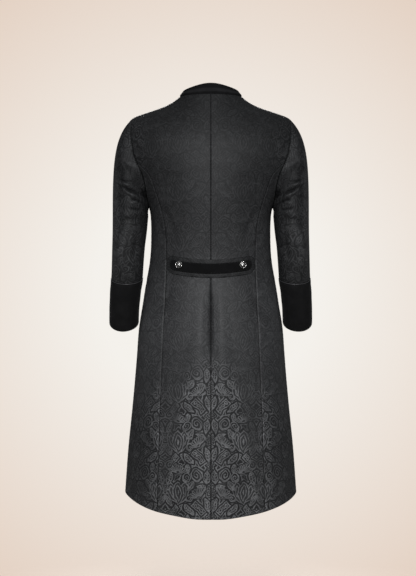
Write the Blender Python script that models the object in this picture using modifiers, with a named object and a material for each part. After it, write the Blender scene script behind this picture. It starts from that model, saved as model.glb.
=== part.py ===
"""Long fitted coat with a stand collar, velvet cuffs and a buttoned half-belt, as a hollow form.

Metres, +Z up. The wearer faces -Y and their left side is +X. The origin is the middle of the neck
opening at the height of the nape. Every sewn piece is its own object, a wall of cloth through rings
that are worked out from the tables below. Neighbouring pieces are one seam gap apart.
"""

import math

import bmesh
import bpy
import numpy as np
from mathutils import Vector

# Cloth and seams
CLOTH = 0.0018
VELVET = 0.0022
COLLAR_CLOTH = 0.0026
SEAM = 0.0003
LAYER_GAP = 0.0006

# Rings of the body from hem to neck, smooth between rows. Each ring is level at the back, the side
# and the front, at three heights. Depths are the places of those three on Y, and square_back and
# square_front say how square the ring is, 2 being an ellipse.
RING_COLUMNS = (
    "z_side", "z_back", "z_front", "half_width", "y_back", "y_side", "y_front", "square_back", "square_front",
)
RINGS = (
    (-1.102, -1.154, -1.112, 0.2390, 0.158, 0.004, -0.150, 2.15, 2.15),
    (-0.985, -1.020, -0.992, 0.2305, 0.149, 0.004, -0.144, 2.15, 2.15),
    (-0.860, -0.880, -0.864, 0.2180, 0.139, 0.003, -0.138, 2.18, 2.15),
    (-0.750, -0.762, -0.752, 0.2083, 0.131, 0.002, -0.133, 2.20, 2.15),
    (-0.655, -0.660, -0.656, 0.2015, 0.122, 0.002, -0.128, 2.22, 2.15),
    (-0.578, -0.580, -0.578, 0.1895, 0.108, 0.002, -0.121, 2.22, 2.15),
    (-0.520, -0.520, -0.520, 0.1805, 0.096, 0.001, -0.116, 2.20, 2.15),
    (-0.460, -0.460, -0.460, 0.1700, 0.091, 0.000, -0.114, 2.20, 2.15),
    (-0.420, -0.420, -0.420, 0.1668, 0.094, 0.000, -0.117, 2.25, 2.15),
    (-0.370, -0.370, -0.371, 0.1662, 0.100, 0.000, -0.122, 2.33, 2.12),
    (-0.311, -0.312, -0.316, 0.1705, 0.107, 0.000, -0.127, 2.30, 2.05),
    (-0.290, -0.293, -0.298, 0.1820, 0.109, 0.000, -0.128, 2.20, 2.00),
    (-0.258, -0.263, -0.270, 0.1970, 0.111, 0.000, -0.128, 2.15, 2.00),
    (-0.220, -0.229, -0.238, 0.2150, 0.112, 0.000, -0.126, 2.12, 2.00),
    (-0.190, -0.204, -0.215, 0.2330, 0.112, 0.000, -0.124, 2.12, 2.00),
    (-0.157, -0.177, -0.192, 0.2440, 0.110, -0.001, -0.121, 2.15, 2.00),
    (-0.110, -0.140, -0.163, 0.2425, 0.106, -0.002, -0.114, 2.12, 2.00),
    (-0.085, -0.121, -0.151, 0.2340, 0.102, -0.002, -0.109, 2.04, 2.00),
    (-0.0615, -0.102, -0.139, 0.2212, 0.097, -0.003, -0.104, 1.96, 1.96),
    (-0.044, -0.080, -0.125, 0.1765, 0.090, -0.004, -0.098, 1.96, 1.96),
    (-0.028, -0.052, -0.108, 0.1305, 0.081, -0.005, -0.091, 1.98, 1.98),
    (-0.014, -0.024, -0.093, 0.1045, 0.071, -0.005, -0.084, 2.00, 2.00),
    (0.000, 0.000, -0.080, 0.0865, 0.062, -0.006, -0.076, 2.00, 2.00),
)

# The rings are averaged over a short reach up and down, so that no row shows as a line
REACH_Z = (-1.102, -1.080, -0.270, -0.200, -0.014, 0.0)
REACH = (0.0, 0.022, 0.022, 0.007, 0.007, 0.0)
REACH_WEIGHTS = ((-1.0, 0.10), (-0.5, 0.24), (0.0, 0.32), (0.5, 0.24), (1.0, 0.10))

# Soft folds of the skirt. Angles run from the centre back towards the wearer's left, and a negative
# depth is a trough. A fold starts at z_top and is full from z_full down, where hem_share of it stays.
FOLD_COLUMNS = ("angle_deg", "half_width_deg", "depth", "z_top", "z_full", "hem_share")
FOLDS = (
    (0, 9, -0.0050, -0.500, -0.600, 0.15),
    (15, 10, 0.0018, -0.520, -0.640, 0.60),
    (-14, 9, 0.0016, -0.520, -0.620, 0.70),
    (34, 12, -0.0030, -0.560, -0.900, 1.60),
    (-31, 11, -0.0026, -0.540, -0.860, 1.70),
    (57, 14, 0.0026, -0.600, -0.960, 1.50),
    (-60, 15, 0.0030, -0.620, -0.940, 1.40),
    (112, 16, -0.0040, -0.560, -0.900, 1.50),
    (-108, 15, -0.0036, -0.560, -0.920, 1.50),
    (137, 13, 0.0036, -0.540, -0.880, 1.50),
    (-134, 14, 0.0034, -0.560, -0.900, 1.40),
    (160, 9, -0.0026, -0.620, -0.980, 1.50),
    (-158, 9, -0.0024, -0.620, -0.960, 1.50),
)

# Armhole, from its top at the shoulder tip to its bottom under the arm, as heights at the side
ARMHOLE_TOP = -0.0615
ARMHOLE_BOTTOM = -0.311
ARMHOLE_BACK_DEPTH = 0.060
ARMHOLE_FRONT_DEPTH = 0.062
ARMHOLE_STEPS = 12

# Princess seam of the back: half width at each side height, from the armhole to the hem
PRINCESS_COLUMNS = ("z_side", "x")
PRINCESS = (
    (-1.102, 0.1445), (-0.824, 0.1365), (-0.650, 0.1300), (-0.4445, 0.1226), (-0.376, 0.1252),
    (-0.311, 0.1385), (-0.264, 0.1530), (-0.222, 0.1690), (-0.18625, 0.2010),
)
PRINCESS_TIP = 0.15  # share of the first row at which the side back's pointed top is squared off

# Rows of the body below the armhole and above it, as heights at the side
SKIRT_ROWS = (
    -1.102, -1.050, -0.990, -0.930, -0.870, -0.815, -0.770, -0.758, -0.744, -0.700,
    -0.655, -0.610, -0.565, -0.530, -0.508, -0.488, -0.468, -0.448, -0.425, -0.390, -0.350,
)
SHOULDER_ROWS = (-0.0545, -0.044, -0.028, -0.014, -0.006, 0.0)
BACK_COLUMNS = 9
SIDE_BACK_COLUMNS = 6
FRONT_COLUMNS = 14

# Centre back vent: right back passes under the left one by the underlap
VENT_OPEN = -0.758
UNDERLAP = 0.035
FRONT_OVERLAP = 0.025
LAP_STEP = 0.011  # width over which the lower layer goes under the upper one

# Sleeve rings down the arm, by the height of the ring's middle. tilt_deg leans the ring forward.
ARM_COLUMNS = ("z", "x", "y", "half_width", "half_depth", "tilt_deg")
ARM = (
    (-0.636, 0.2485, -0.0855, 0.0408, 0.0500, 31),
    (-0.590, 0.2462, -0.0635, 0.0414, 0.0510, 26),
    (-0.550, 0.2420, -0.0450, 0.0425, 0.0518, 22),
    (-0.508, 0.2365, -0.0285, 0.0440, 0.0530, 18),
    (-0.460, 0.2330, -0.0120, 0.0448, 0.0560, 13),
    (-0.420, 0.2303, -0.0030, 0.0458, 0.0590, 7),
    (-0.380, 0.2270, 0.0010, 0.0478, 0.0620, 2),
    (-0.335, 0.2247, 0.0010, 0.0497, 0.0670, 0),
)
ARM_TOP = -0.335
CUFF_TOP = -0.508
CUFF_END = -0.633
SLEEVE_CAP_ROWS = (0.0, 0.09, 0.2, 0.32, 0.46, 0.6, 0.75, 0.88)
SLEEVE_ARM_ROWS = (-0.335, -0.358, -0.382, -0.406, -0.430, -0.454, -0.480)
CUFF_ROWS = (-0.540, -0.572, -0.602)
HIND_SEAM = 120  # angle round the arm, from its outer side backwards
FORE_SEAM = 255
CAP_LEAVING = 0.81  # how strongly the sleeve leaves the armhole and meets the arm
CAP_MEETING = 1.08
CAP_COLUMNS = ("round_deg", "out", "back", "up")
CAP_DIRECTIONS = (
    (0, 0.71, 0.00, -0.71), (90, 0.93, 0.28, -0.25), (180, 0.75, 0.00, -0.66), (270, 0.93, -0.30, -0.22),
    (360, 0.71, 0.00, -0.71),
)

# Soft folds of the sleeve: angle round the arm, place down it, size across and along, and depth
SLEEVE_FOLD_COLUMNS = ("round_deg", "z", "half_round_deg", "half_height", "lean", "depth")
SLEEVE_FOLDS = (
    (70, -0.205, 42, 0.020, 0.035, -0.0030),
    (95, -0.268, 38, 0.018, 0.030, -0.0028),
    (110, -0.345, 40, 0.018, -0.020, -0.0022),
    (255, -0.395, 50, 0.018, 0.015, -0.0034),
    (275, -0.440, 45, 0.016, -0.010, -0.0030),
    (85, -0.420, 35, 0.022, 0.020, 0.0020),
)
CUFF_PROUD = 0.0014
PIPING_RADIUS = 0.0013

# Collar: height above the neck seam and lean towards the neck
COLLAR_HEIGHT_BACK = 0.0317
COLLAR_HEIGHT_SIDE = 0.0175
COLLAR_HEIGHT_FRONT = 0.0290
COLLAR_LEAN = 0.0095
COLLAR_FRONT_GAP = 0.003
COLLAR_ROWS = (0.0, 0.15, 0.45, 0.75, 1.0)  # shares of its height
COLLAR_TIP = 0.2  # lean of its wall, in radians

# Half-belt on the back of the waist
BELT_HALF_LENGTH = 0.1110
BELT_HALF_HEIGHT = 0.0142
BELT_FRAME = 0.0108  # how far the cloth layer shows round the velvet one
BELT_MIDDLE_Z = -0.4825
BELT_END_RISE = 0.0125

# Buttons
BUTTON_RADIUS = 0.0098
BUTTON_SIDES = 16
BUTTON_PROFILE = (  # share of the radius, height above the cloth
    (0.00, 0.0070), (0.34, 0.0066), (0.62, 0.0054), (0.80, 0.0036), (0.90, 0.0038),
    (1.00, 0.0028), (0.97, 0.0016), (0.40, 0.0010), (0.36, 0.0000), (0.00, 0.0000),
)
BELT_BUTTON_X = 0.0855
BELT_BUTTON_Z = -0.4715
FRONT_BUTTON_Z = (-0.150, -0.238, -0.326, -0.414, -0.502)

# Colour, roughness and metallic value of each material
FINISHES = {
    "jacquard": ((0.040, 0.041, 0.044), 0.62, 0.0),
    "velvet": ((0.008, 0.008, 0.009), 0.90, 0.0),
    "piping": ((0.075, 0.076, 0.080), 0.45, 0.0),
    "metal": ((0.62, 0.61, 0.60), 0.28, 1.0),
}


def smooth_table(columns, rows):
    """Read a table by its first column, each other column as one smooth curve with no overshoot."""
    rows = sorted(rows)
    keys = np.array([row[0] for row in rows], float)
    steps = np.diff(keys)
    curves = {}
    for place, column in enumerate(columns[1:], start=1):
        values = np.array([row[place] for row in rows], float)
        slopes = np.diff(values) / steps
        bends = np.zeros_like(values)
        bends[0], bends[-1] = slopes[0], slopes[-1]
        for i in range(1, len(values) - 1):
            if slopes[i - 1] * slopes[i] > 0:
                before = 2 * steps[i] + steps[i - 1]
                after = steps[i] + 2 * steps[i - 1]
                bends[i] = (before + after) / (before / slopes[i - 1] + after / slopes[i])
        curves[column] = (values, bends)

    def read(column, key):
        values, bends = curves[column]
        key = np.clip(key, keys[0], keys[-1])
        i = np.clip(np.searchsorted(keys, key, side="right") - 1, 0, len(steps) - 1)
        t = (key - keys[i]) / steps[i]
        rise = t * t * (3 - 2 * t)
        leave = t * (1 - t) ** 2
        arrive = t * t * (t - 1)
        return values[i] * (1 - rise) + values[i + 1] * rise + steps[i] * (leave * bends[i] + arrive * bends[i + 1])

    return read


ring_rows = smooth_table(RING_COLUMNS, RINGS)
princess = smooth_table(PRINCESS_COLUMNS, PRINCESS)
arm = smooth_table(ARM_COLUMNS, ARM)
cap_direction = smooth_table(CAP_COLUMNS, CAP_DIRECTIONS)


def ease(value):
    value = np.clip(value, 0, 1)
    return value * value * (3 - 2 * value)


def unit(vectors):
    return vectors / np.maximum(np.linalg.norm(vectors, axis=-1, keepdims=True), 1e-12)


def ring(column, z):
    reach = np.interp(z, REACH_Z, REACH)
    return sum(weight * ring_rows(column, z + share * reach) for share, weight in REACH_WEIGHTS)


def fold_depth(z, angle):
    """How far the skirt's folds move the cloth out at a side height and an angle in radians."""
    total = np.zeros(np.broadcast(z, angle).shape)
    for row in FOLDS:
        fold = dict(zip(FOLD_COLUMNS, row))
        away = np.degrees(angle) - fold["angle_deg"]
        away = (away + 180) % 360 - 180
        across = ease(1 - np.abs(away) / (1.6 * fold["half_width_deg"]))
        grown = ease((fold["z_top"] - z) / (fold["z_top"] - fold["z_full"]))
        to_hem = np.clip((fold["z_full"] - z) / (fold["z_full"] - RINGS[0][0]), 0, 1)
        total = total + fold["depth"] * across * grown * (1 + (fold["hem_share"] - 1) * to_hem)
    return total


def body_point(z, angle, folded=True):
    """Point of the body's outer surface: z is its ring's height at the side, angle is 0 at the back."""
    z, angle = np.broadcast_arrays(np.asarray(z, float), np.asarray(angle, float))
    sine, cosine = np.sin(angle), np.cos(angle)
    behind = cosine >= 0
    y_side, wide = ring("y_side", z), ring("half_width", z)
    deep = np.where(behind, ring("y_back", z) - y_side, y_side - ring("y_front", z))
    square = np.where(behind, ring("square_back", z), ring("square_front", z))
    reach = ((np.abs(sine) / wide) ** square + (np.abs(cosine) / deep) ** square) ** (-1 / square)
    x, y = reach * sine, reach * cosine
    end_z = np.where(behind, ring("z_back", z), ring("z_front", z))
    height = z + (end_z - z) * (y / deep) ** 2
    if folded:
        push = fold_depth(z, angle)
        slope_x = np.sign(sine) * (np.abs(x) / wide) ** (square - 1) / wide
        slope_y = np.sign(cosine) * (np.abs(y) / deep) ** (square - 1) / deep
        steep = np.maximum(np.hypot(slope_x, slope_y), 1e-9)
        x, y = x + push * slope_x / steep, y + push * slope_y / steep
    return np.stack([x, y + y_side, height], axis=-1)


def body_normal(z, angle, folded=True):
    z, angle = np.broadcast_arrays(np.asarray(z, float), np.asarray(angle, float))
    step_z, step_angle = 0.0015, 0.004
    up = body_point(z + step_z, angle, folded) - body_point(z - step_z, angle, folded)
    round_it = body_point(z, angle + step_angle, folded) - body_point(z, angle - step_angle, folded)
    return unit(np.cross(up, round_it))


def angle_at_x(z, x):
    """Angle on the back half of a ring where it is x from the middle."""
    wide, square = ring("half_width", z), ring("square_back", z)
    deep = ring("y_back", z) - ring("y_side", z)
    y = deep * np.maximum(1 - (np.abs(x) / wide) ** square, 0) ** (1 / square)
    return np.arctan2(x, y)


def armhole(round_deg):
    """Side height and angle of the armhole: 0 at its top, 90 at the back, 180 under the arm."""
    turn = np.radians(round_deg)
    middle, half = (ARMHOLE_TOP + ARMHOLE_BOTTOM) / 2, (ARMHOLE_TOP - ARMHOLE_BOTTOM) / 2
    z = middle + half * np.cos(turn)
    sine = np.sin(turn)
    behind = sine >= 0
    deep = np.where(behind, ring("y_back", z) - ring("y_side", z), ring("y_side", z) - ring("y_front", z))
    square = np.where(behind, ring("square_back", z), ring("square_front", z))
    y = np.where(behind, ARMHOLE_BACK_DEPTH, ARMHOLE_FRONT_DEPTH) * sine
    x = ring("half_width", z) * np.maximum(1 - (np.abs(y) / deep) ** square, 0) ** (1 / square)
    return z, np.arctan2(x, y)


def body_rows():
    """Heights of all rows, and each row's angle at the armhole's back and front or the side seam."""
    rows = [(z, math.pi / 2, math.pi / 2) for z in SKIRT_ROWS]
    for step in range(ARMHOLE_STEPS, -1, -1):
        turn = 180 * step / ARMHOLE_STEPS
        z, back = armhole(turn)
        front = armhole(360 - turn)[1] if 0 < step < ARMHOLE_STEPS else math.pi / 2
        rows.append((float(z), float(back) if 0 < step < ARMHOLE_STEPS else math.pi / 2, float(front)))
    rows += [(z, math.pi / 2, math.pi / 2) for z in SHOULDER_ROWS]
    return rows


BODY_ROWS = body_rows()
PRINCESS_ROW = len(SKIRT_ROWS) + ARMHOLE_STEPS // 2  # the row where the princess seam meets the armhole


def trimmed(points, normals, edges, amount=SEAM / 2):
    """Move a piece's edges in from its seam lines. Edges are first or last row or column."""
    moved = points.copy()
    cuts = {
        "first_row": (np.s_[0, :], np.s_[1, :]),
        "last_row": (np.s_[-1, :], np.s_[-2, :]),
        "first_column": (np.s_[:, 0], np.s_[:, 1]),
        "last_column": (np.s_[:, -1], np.s_[:, -2]),
    }
    for edge in edges:
        rim, inside = cuts[edge]
        along = unit(np.gradient(points[rim], axis=0))
        inward = unit(np.cross(normals[rim], along))
        side = np.sign(np.sum(inward * (points[inside] - points[rim]), axis=-1, keepdims=True))
        moved[rim] += inward * side * amount
    return moved


def collection_named(name):
    found = bpy.data.collections.new(name)
    bpy.context.scene.collection.children.link(found)
    return found


def finish_of(kind, name):
    colour, roughness, metallic = FINISHES[kind]
    material = bpy.data.materials.new(name)
    material.use_nodes = True
    shader = material.node_tree.nodes["Principled BSDF"]
    shader.inputs["Base Color"].default_value = (*colour, 1)
    shader.inputs["Roughness"].default_value = roughness
    shader.inputs["Metallic"].default_value = metallic
    material.diffuse_color = (*colour, 1)
    return material


def place(mesh, name, kind, smooth_below=40):
    mesh.shade_smooth()
    mesh.set_sharp_from_angle(angle=math.radians(smooth_below))
    mesh.materials.append(finish_of(kind, name))
    piece = bpy.data.objects.new(name, mesh)
    COAT.objects.link(piece)
    return piece


def cloth_wall(name, kind, outer, inner, closed=False):
    """A wall of cloth between its outer and inner points, given as rows, closed round all its edges."""
    bm = bmesh.new()
    top = [[bm.verts.new(point) for point in row] for row in outer]
    under = [[bm.verts.new(point) for point in row] for row in inner]
    rows, columns = len(top), len(top[0])
    spans = columns if closed else columns - 1
    for i in range(rows - 1):
        for j in range(spans):
            k = (j + 1) % columns
            bm.faces.new((top[i][j], top[i][k], top[i + 1][k], top[i + 1][j]))
            bm.faces.new((under[i][j], under[i + 1][j], under[i + 1][k], under[i][k]))
    for j in range(spans):
        k = (j + 1) % columns
        bm.faces.new((top[0][k], top[0][j], under[0][j], under[0][k]))
        bm.faces.new((top[-1][j], top[-1][k], under[-1][k], under[-1][j]))
    if not closed:
        for i in range(rows - 1):
            bm.faces.new((top[i][0], top[i + 1][0], under[i + 1][0], under[i][0]))
            bm.faces.new((top[i + 1][-1], top[i][-1], under[i][-1], under[i + 1][-1]))
    bmesh.ops.recalc_face_normals(bm, faces=bm.faces)
    mesh = bpy.data.meshes.new(name)
    bm.to_mesh(mesh)
    bm.free()
    return place(mesh, name, kind)


def body_panel(name, z, angles, lowered, edges, tip=None):
    """A panel of the body from its rows' heights, their angles and how deep a layer lies under another."""
    heights = np.repeat(np.asarray(z, float)[:, None], angles.shape[1], axis=1)
    points = body_point(heights, angles)
    normals = body_normal(heights, angles)
    if tip is not None:
        points[-1] = points[-1] + (1 - PRINCESS_TIP) * (tip - points[-1])
    points = trimmed(points, normals, edges) - normals * lowered[..., None]
    return cloth_wall(name, "jacquard", points, points - normals * CLOTH)


def spread(start, end, count):
    return start + (end - start) * np.linspace(0, 1, count)


def lap_angle(distance, z, back):
    """Angle of a place this far from the centre line, on the back or the front."""
    deep = ring("y_back", z) - ring("y_side", z) if back else ring("y_side", z) - ring("y_front", z)
    return distance / deep


def outer_back_angle(index):
    """Angle of the back panel's outer edge in a row: princess seam, armhole or shoulder seam."""
    z, armhole_angle, _ = BODY_ROWS[index]
    if index < PRINCESS_ROW:
        return float(angle_at_x(z, princess("x", z)))
    return armhole_angle


def back_row(side, z, outer):
    """Angles of a back's columns from the centre back to its outer edge, for the left half."""
    if side > 0:
        return spread(0, outer, BACK_COLUMNS)
    lap = UNDERLAP if z < VENT_OPEN else 0.0
    start = [lap_angle(d, z, True) for d in (-lap, 0.002 - 0.4 * lap, 0.004, 0.004 + LAP_STEP)]
    return np.concatenate([start, spread(start[-1], outer, BACK_COLUMNS - 2)[1:]])


def make_backs():
    for name, side in (("back_left", 1), ("back_right", -1)):
        rows = [(z, outer_back_angle(index)) for index, (z, _, _) in enumerate(BODY_ROWS)]
        angles = np.array([side * back_row(side, z, outer) for z, outer in rows])
        lowered = np.zeros(angles.shape)
        if side < 0:
            below = np.array([z <= VENT_OPEN for z, _ in rows])
            lowered[below, :3] = CLOTH + LAYER_GAP
        edges = ["first_column", "last_column", "last_row"]
        body_panel(name, [z for z, _ in rows], angles, lowered, edges)


def make_side_backs():
    for name, side in (("side_back_left", 1), ("side_back_right", -1)):
        z = [row[0] for row in BODY_ROWS[:PRINCESS_ROW]]
        ends = [(outer_back_angle(i), BODY_ROWS[i][1]) for i in range(PRINCESS_ROW)]
        angles = np.array([side * spread(inner, outer, SIDE_BACK_COLUMNS) for inner, outer in ends])
        tip = body_point(BODY_ROWS[PRINCESS_ROW][0], side * BODY_ROWS[PRINCESS_ROW][1])
        z.append(z[-1])
        angles = np.concatenate([angles, angles[-1:]])
        body_panel(name, z, angles, np.zeros(angles.shape), ["first_column", "last_column", "last_row"], tip)


def front_row(side, z, edge):
    """Angles of a front's columns from its edge past the centre front to its side, for the left half."""
    lap = [-FRONT_OVERLAP, -0.008, 0.0, 0.008, FRONT_OVERLAP]
    if side < 0:
        lap += [FRONT_OVERLAP + 0.004, FRONT_OVERLAP + 0.004 + LAP_STEP]
    start = math.pi - np.array([lap_angle(d, z, False) for d in lap])
    return np.concatenate([start, spread(start[-1], edge, FRONT_COLUMNS - len(start) + 1)[1:]])


def make_fronts():
    for name, side in (("front_left", 1), ("front_right", -1)):
        angles = np.array([side * front_row(side, z, edge) for z, _, edge in BODY_ROWS])
        lowered = np.zeros(angles.shape)
        if side < 0:
            lowered[:, :6] = CLOTH + LAYER_GAP
        body_panel(name, [row[0] for row in BODY_ROWS], angles, lowered, ["last_column", "last_row"])


def arm_point(z, turn, grown=0.0):
    """Point of the left arm's outer surface at a ring's height and an angle round it in radians."""
    tilt = np.radians(arm("tilt_deg", z))
    out = (arm("half_width", z) + grown) * np.cos(turn)
    back = (arm("half_depth", z) + grown) * np.sin(turn)
    x = arm("x", z) + out
    y = arm("y", z) + back * np.cos(tilt)
    return np.stack([x, y, z - back * np.sin(tilt)], axis=-1)


def sleeve_fold(z, turn):
    total = np.zeros(np.broadcast(z, turn).shape)
    for row in SLEEVE_FOLDS:
        fold = dict(zip(SLEEVE_FOLD_COLUMNS, row))
        away = (np.degrees(turn) - fold["round_deg"] + 180) % 360 - 180
        line = fold["z"] + fold["lean"] * away / fold["half_round_deg"]
        across = ease(1 - np.abs(z - line) / (1.6 * fold["half_height"]))
        total = total + fold["depth"] * across * ease(1 - np.abs(away) / (1.4 * fold["half_round_deg"]))
    return total


def sleeve_base(down, turn):
    """Point of the left sleeve. down is 0 to 1 from the armhole to the arm's top ring, then on by height."""
    down, turn = np.broadcast_arrays(np.asarray(down, float), np.asarray(turn, float))
    z, angle = armhole(np.degrees(turn))
    start = body_point(z, angle, False)
    end = arm_point(np.full(turn.shape, ARM_TOP), turn)
    span = np.linalg.norm(end - start, axis=-1, keepdims=True)
    degrees = np.degrees(turn) % 360
    leave = unit(np.stack([cap_direction(c, degrees) for c in ("out", "back", "up")], axis=-1)) * span * CAP_LEAVING
    arrive = np.array([0.0, 0.0, -CAP_MEETING]) * span
    t = np.clip(down, 0, 1)[..., None]
    rise = t * t * (3 - 2 * t)
    cap = start * (1 - rise) + end * rise + leave * t * (1 - t) ** 2 + arrive * t * t * (t - 1)
    below = arm_point(ARM_TOP - np.maximum(down - 1, 0), turn)
    return np.where(down[..., None] <= 1, cap, below)


def sleeve_normal_of(surface, down, turn):
    step_down, step_turn = 0.002, 0.01
    before, after = np.maximum(down - step_down, 0), down + step_down
    along = surface(after, turn) - surface(before, turn)
    round_it = surface(down, turn + step_turn) - surface(down, turn - step_turn)
    return unit(np.cross(along, round_it))


def sleeve_point(down, turn):
    base = sleeve_base(down, turn)
    start_share = ease(np.asarray(down) / 0.2)
    push = sleeve_fold(base[..., 2], turn) * start_share
    return base + sleeve_normal_of(sleeve_base, down, turn) * push[..., None]


def mirrored(points, side):
    return points * np.array([side, 1.0, 1.0])


def make_sleeves():
    downs = list(SLEEVE_CAP_ROWS) + [1 + ARM_TOP - z for z in SLEEVE_ARM_ROWS]
    downs.append(1 + ARM_TOP - CUFF_TOP - PIPING_RADIUS - SEAM)
    step = 180 // ARMHOLE_STEPS
    pieces = (
        ("upper_sleeve", np.arange(FORE_SEAM - 360, HIND_SEAM + 1, step)),
        ("under_sleeve", np.arange(HIND_SEAM, FORE_SEAM + 1, step)),
    )
    for kind, degrees in pieces:
        down, turn = np.meshgrid(downs, np.radians(degrees), indexing="ij")
        points = sleeve_point(down, turn)
        normals = sleeve_normal_of(sleeve_point, down, turn)
        trimmed_points = trimmed(points, normals, ["first_row", "first_column", "last_column"])
        z, angle = armhole(degrees.astype(float))
        walls = normals.copy()
        walls[0] = body_normal(z, angle)
        inner = trimmed_points - walls * CLOTH
        for name, side in (("left", 1), ("right", -1)):
            cloth_wall(f"{kind}_{name}", "jacquard", mirrored(trimmed_points, side), mirrored(inner, side))


def make_cuffs():
    start = CUFF_TOP - PIPING_RADIUS - SEAM
    heights = np.array([start, start - 0.004, *CUFF_ROWS, CUFF_END])
    proud = np.array([0.3, 1.0, 1.0, 1.0, 1.0, 1.0]) * CUFF_PROUD
    turns = np.radians(np.arange(0, 360, 180 / ARMHOLE_STEPS))
    z, turn = np.meshgrid(heights, turns, indexing="ij")
    outer = arm_point(z, turn, proud[:, None])
    inner = arm_point(z, turn, (proud - VELVET)[:, None])
    for name, side in (("cuff_left", 1), ("cuff_right", -1)):
        cloth_wall(name, "velvet", mirrored(outer, side), mirrored(inner, side), closed=True)


def make_piping():
    turns = np.radians(np.arange(0, 360, 180 / ARMHOLE_STEPS))
    route = arm_point(np.full(turns.shape, CUFF_TOP), turns, -0.0004)
    for name, side in (("cuff_piping_left", 1), ("cuff_piping_right", -1)):
        curve = bpy.data.curves.new(name, "CURVE")
        curve.dimensions = "3D"
        curve.bevel_depth = PIPING_RADIUS
        curve.bevel_resolution = 1
        spline = curve.splines.new("POLY")
        spline.points.add(len(route) - 1)
        for point, spot in zip(spline.points, mirrored(route, side)):
            point.co = (*spot, 1)
        spline.use_cyclic_u = True
        curve.materials.append(finish_of("piping", name))
        COAT.objects.link(bpy.data.objects.new(name, curve))


def collar_angles():
    """Angles of the collar's columns, the same as those of the pieces that it is sewn to."""
    top = BODY_ROWS[-1][0]
    half = math.pi - lap_angle(COLLAR_FRONT_GAP / 2, top, False)
    angles = [-half, half]
    for side in (1, -1):
        sewn_to = [*back_row(side, top, math.pi / 2), *front_row(side, top, math.pi / 2)]
        angles += [side * angle for angle in sewn_to if angle < half]
    return np.unique(np.round(angles, 6))


def make_collar():
    angle = collar_angles()
    foot = body_point(np.zeros(angle.shape), angle)
    foot_normal = body_normal(np.zeros(angle.shape) - 0.001, angle)
    ahead = np.cos(angle)
    end = np.where(ahead > 0, COLLAR_HEIGHT_BACK, COLLAR_HEIGHT_FRONT)
    height = COLLAR_HEIGHT_SIDE + (end - COLLAR_HEIGHT_SIDE) * ahead**2
    outward = unit(foot * np.array([1.0, 1.0, 0.0]) - np.array([0.0, -0.006, 0.0]))
    up = np.array([0.0, 0.0, 1.0])
    wall = outward * math.cos(COLLAR_TIP) + up * math.sin(COLLAR_TIP)
    outer, inner = [], []
    for share in COLLAR_ROWS:
        rise = SEAM + (height - SEAM) * share
        points = foot - outward * (COLLAR_LEAN * share**1.4 + SEAM) + up * rise[:, None]
        outer.append(points)
        inner.append(points - (foot_normal * CLOTH if share == 0 else wall * COLLAR_CLOTH))
    cloth_wall("collar", "velvet", np.array(outer), np.array(inner))


def belt_point(x, up, lift):
    """Point of the half-belt at x across the back and up from its middle line, lifted off the cloth."""
    rise = BELT_END_RISE * (x / BELT_HALF_LENGTH) ** 2
    z = BELT_MIDDLE_Z + rise + up
    angle = angle_at_x(z, x)
    return body_point(z, angle, False) + body_normal(z, angle, False) * lift


def make_half_belt():
    lift = LAYER_GAP
    layers = (("half_belt_base", "jacquard", BELT_FRAME, CLOTH), ("half_belt_velvet", "velvet", 0.0, VELVET))
    for name, kind, wider, wall in layers:
        half_length, half_height = BELT_HALF_LENGTH + wider, BELT_HALF_HEIGHT + wider
        round_end = half_height * 0.8
        turns = np.radians([86, 60, 35, 12])
        ends = half_length - round_end + round_end * np.sin(turns)
        x = np.concatenate([-ends, np.linspace(-ends[-1], ends[-1], 15)[1:-1], ends[::-1]])
        past = np.clip((np.abs(x) - (half_length - round_end)) / round_end, 0, 1)
        reach = half_height * np.sqrt(1 - past**2)
        up = reach[None, :] * np.linspace(-1, 1, 5)[:, None]
        x = np.broadcast_to(x, up.shape)
        cloth_wall(name, kind, belt_point(x, up, lift + wall), belt_point(x, up, lift))
        lift += wall + LAYER_GAP
    return lift - LAYER_GAP


def make_button(name, spot, facing):
    """A domed metal button, a turned shape, with its back on the cloth at spot."""
    mesh = bpy.data.meshes.new(name)
    profile = [(share * BUTTON_RADIUS, 0.0, height) for share, height in BUTTON_PROFILE]
    mesh.from_pydata(profile, [(i, i + 1) for i in range(len(profile) - 1)], [])
    button = place(mesh, name, "metal")
    turn = button.modifiers.new("turned", "SCREW")
    turn.steps = turn.render_steps = BUTTON_SIDES
    turn.use_merge_vertices = True
    turn.merge_threshold = 0.00005
    turn.use_smooth_shade = True
    button.location = spot
    button.rotation_mode = "QUATERNION"
    button.rotation_quaternion = facing.to_track_quat("Z", "Y")
    return button


def make_buttons(belt_lift):
    for name, side in (("belt_button_left", 1), ("belt_button_right", -1)):
        x = side * BELT_BUTTON_X
        rise = BELT_END_RISE * (x / BELT_HALF_LENGTH) ** 2
        up = BELT_BUTTON_Z - BELT_MIDDLE_Z - rise
        on_belt = belt_point(np.array(x), np.array(up), belt_lift)
        above = belt_point(np.array(x), np.array(up), belt_lift + 1.0)
        facing = Vector(above - on_belt).normalized()
        make_button(name, Vector(on_belt) + facing * LAYER_GAP, facing)
    heights = np.linspace(ARMHOLE_TOP, -0.7, 600)
    for number, wanted in enumerate(FRONT_BUTTON_Z, start=1):
        z = heights[np.argmin(np.abs(ring("z_front", heights) - wanted))]
        on_front = Vector(body_point(z, math.pi))
        facing = Vector(body_normal(z, math.pi))
        make_button(f"front_button_{number}", on_front + facing * LAYER_GAP, facing)


def clear_scene():
    for old in list(bpy.data.objects):
        bpy.data.objects.remove(old, do_unlink=True)


clear_scene()
COAT = collection_named("long_coat")
make_backs()
make_side_backs()
make_fronts()
make_sleeves()
make_cuffs()
make_piping()
make_collar()
make_buttons(make_half_belt())
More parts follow.
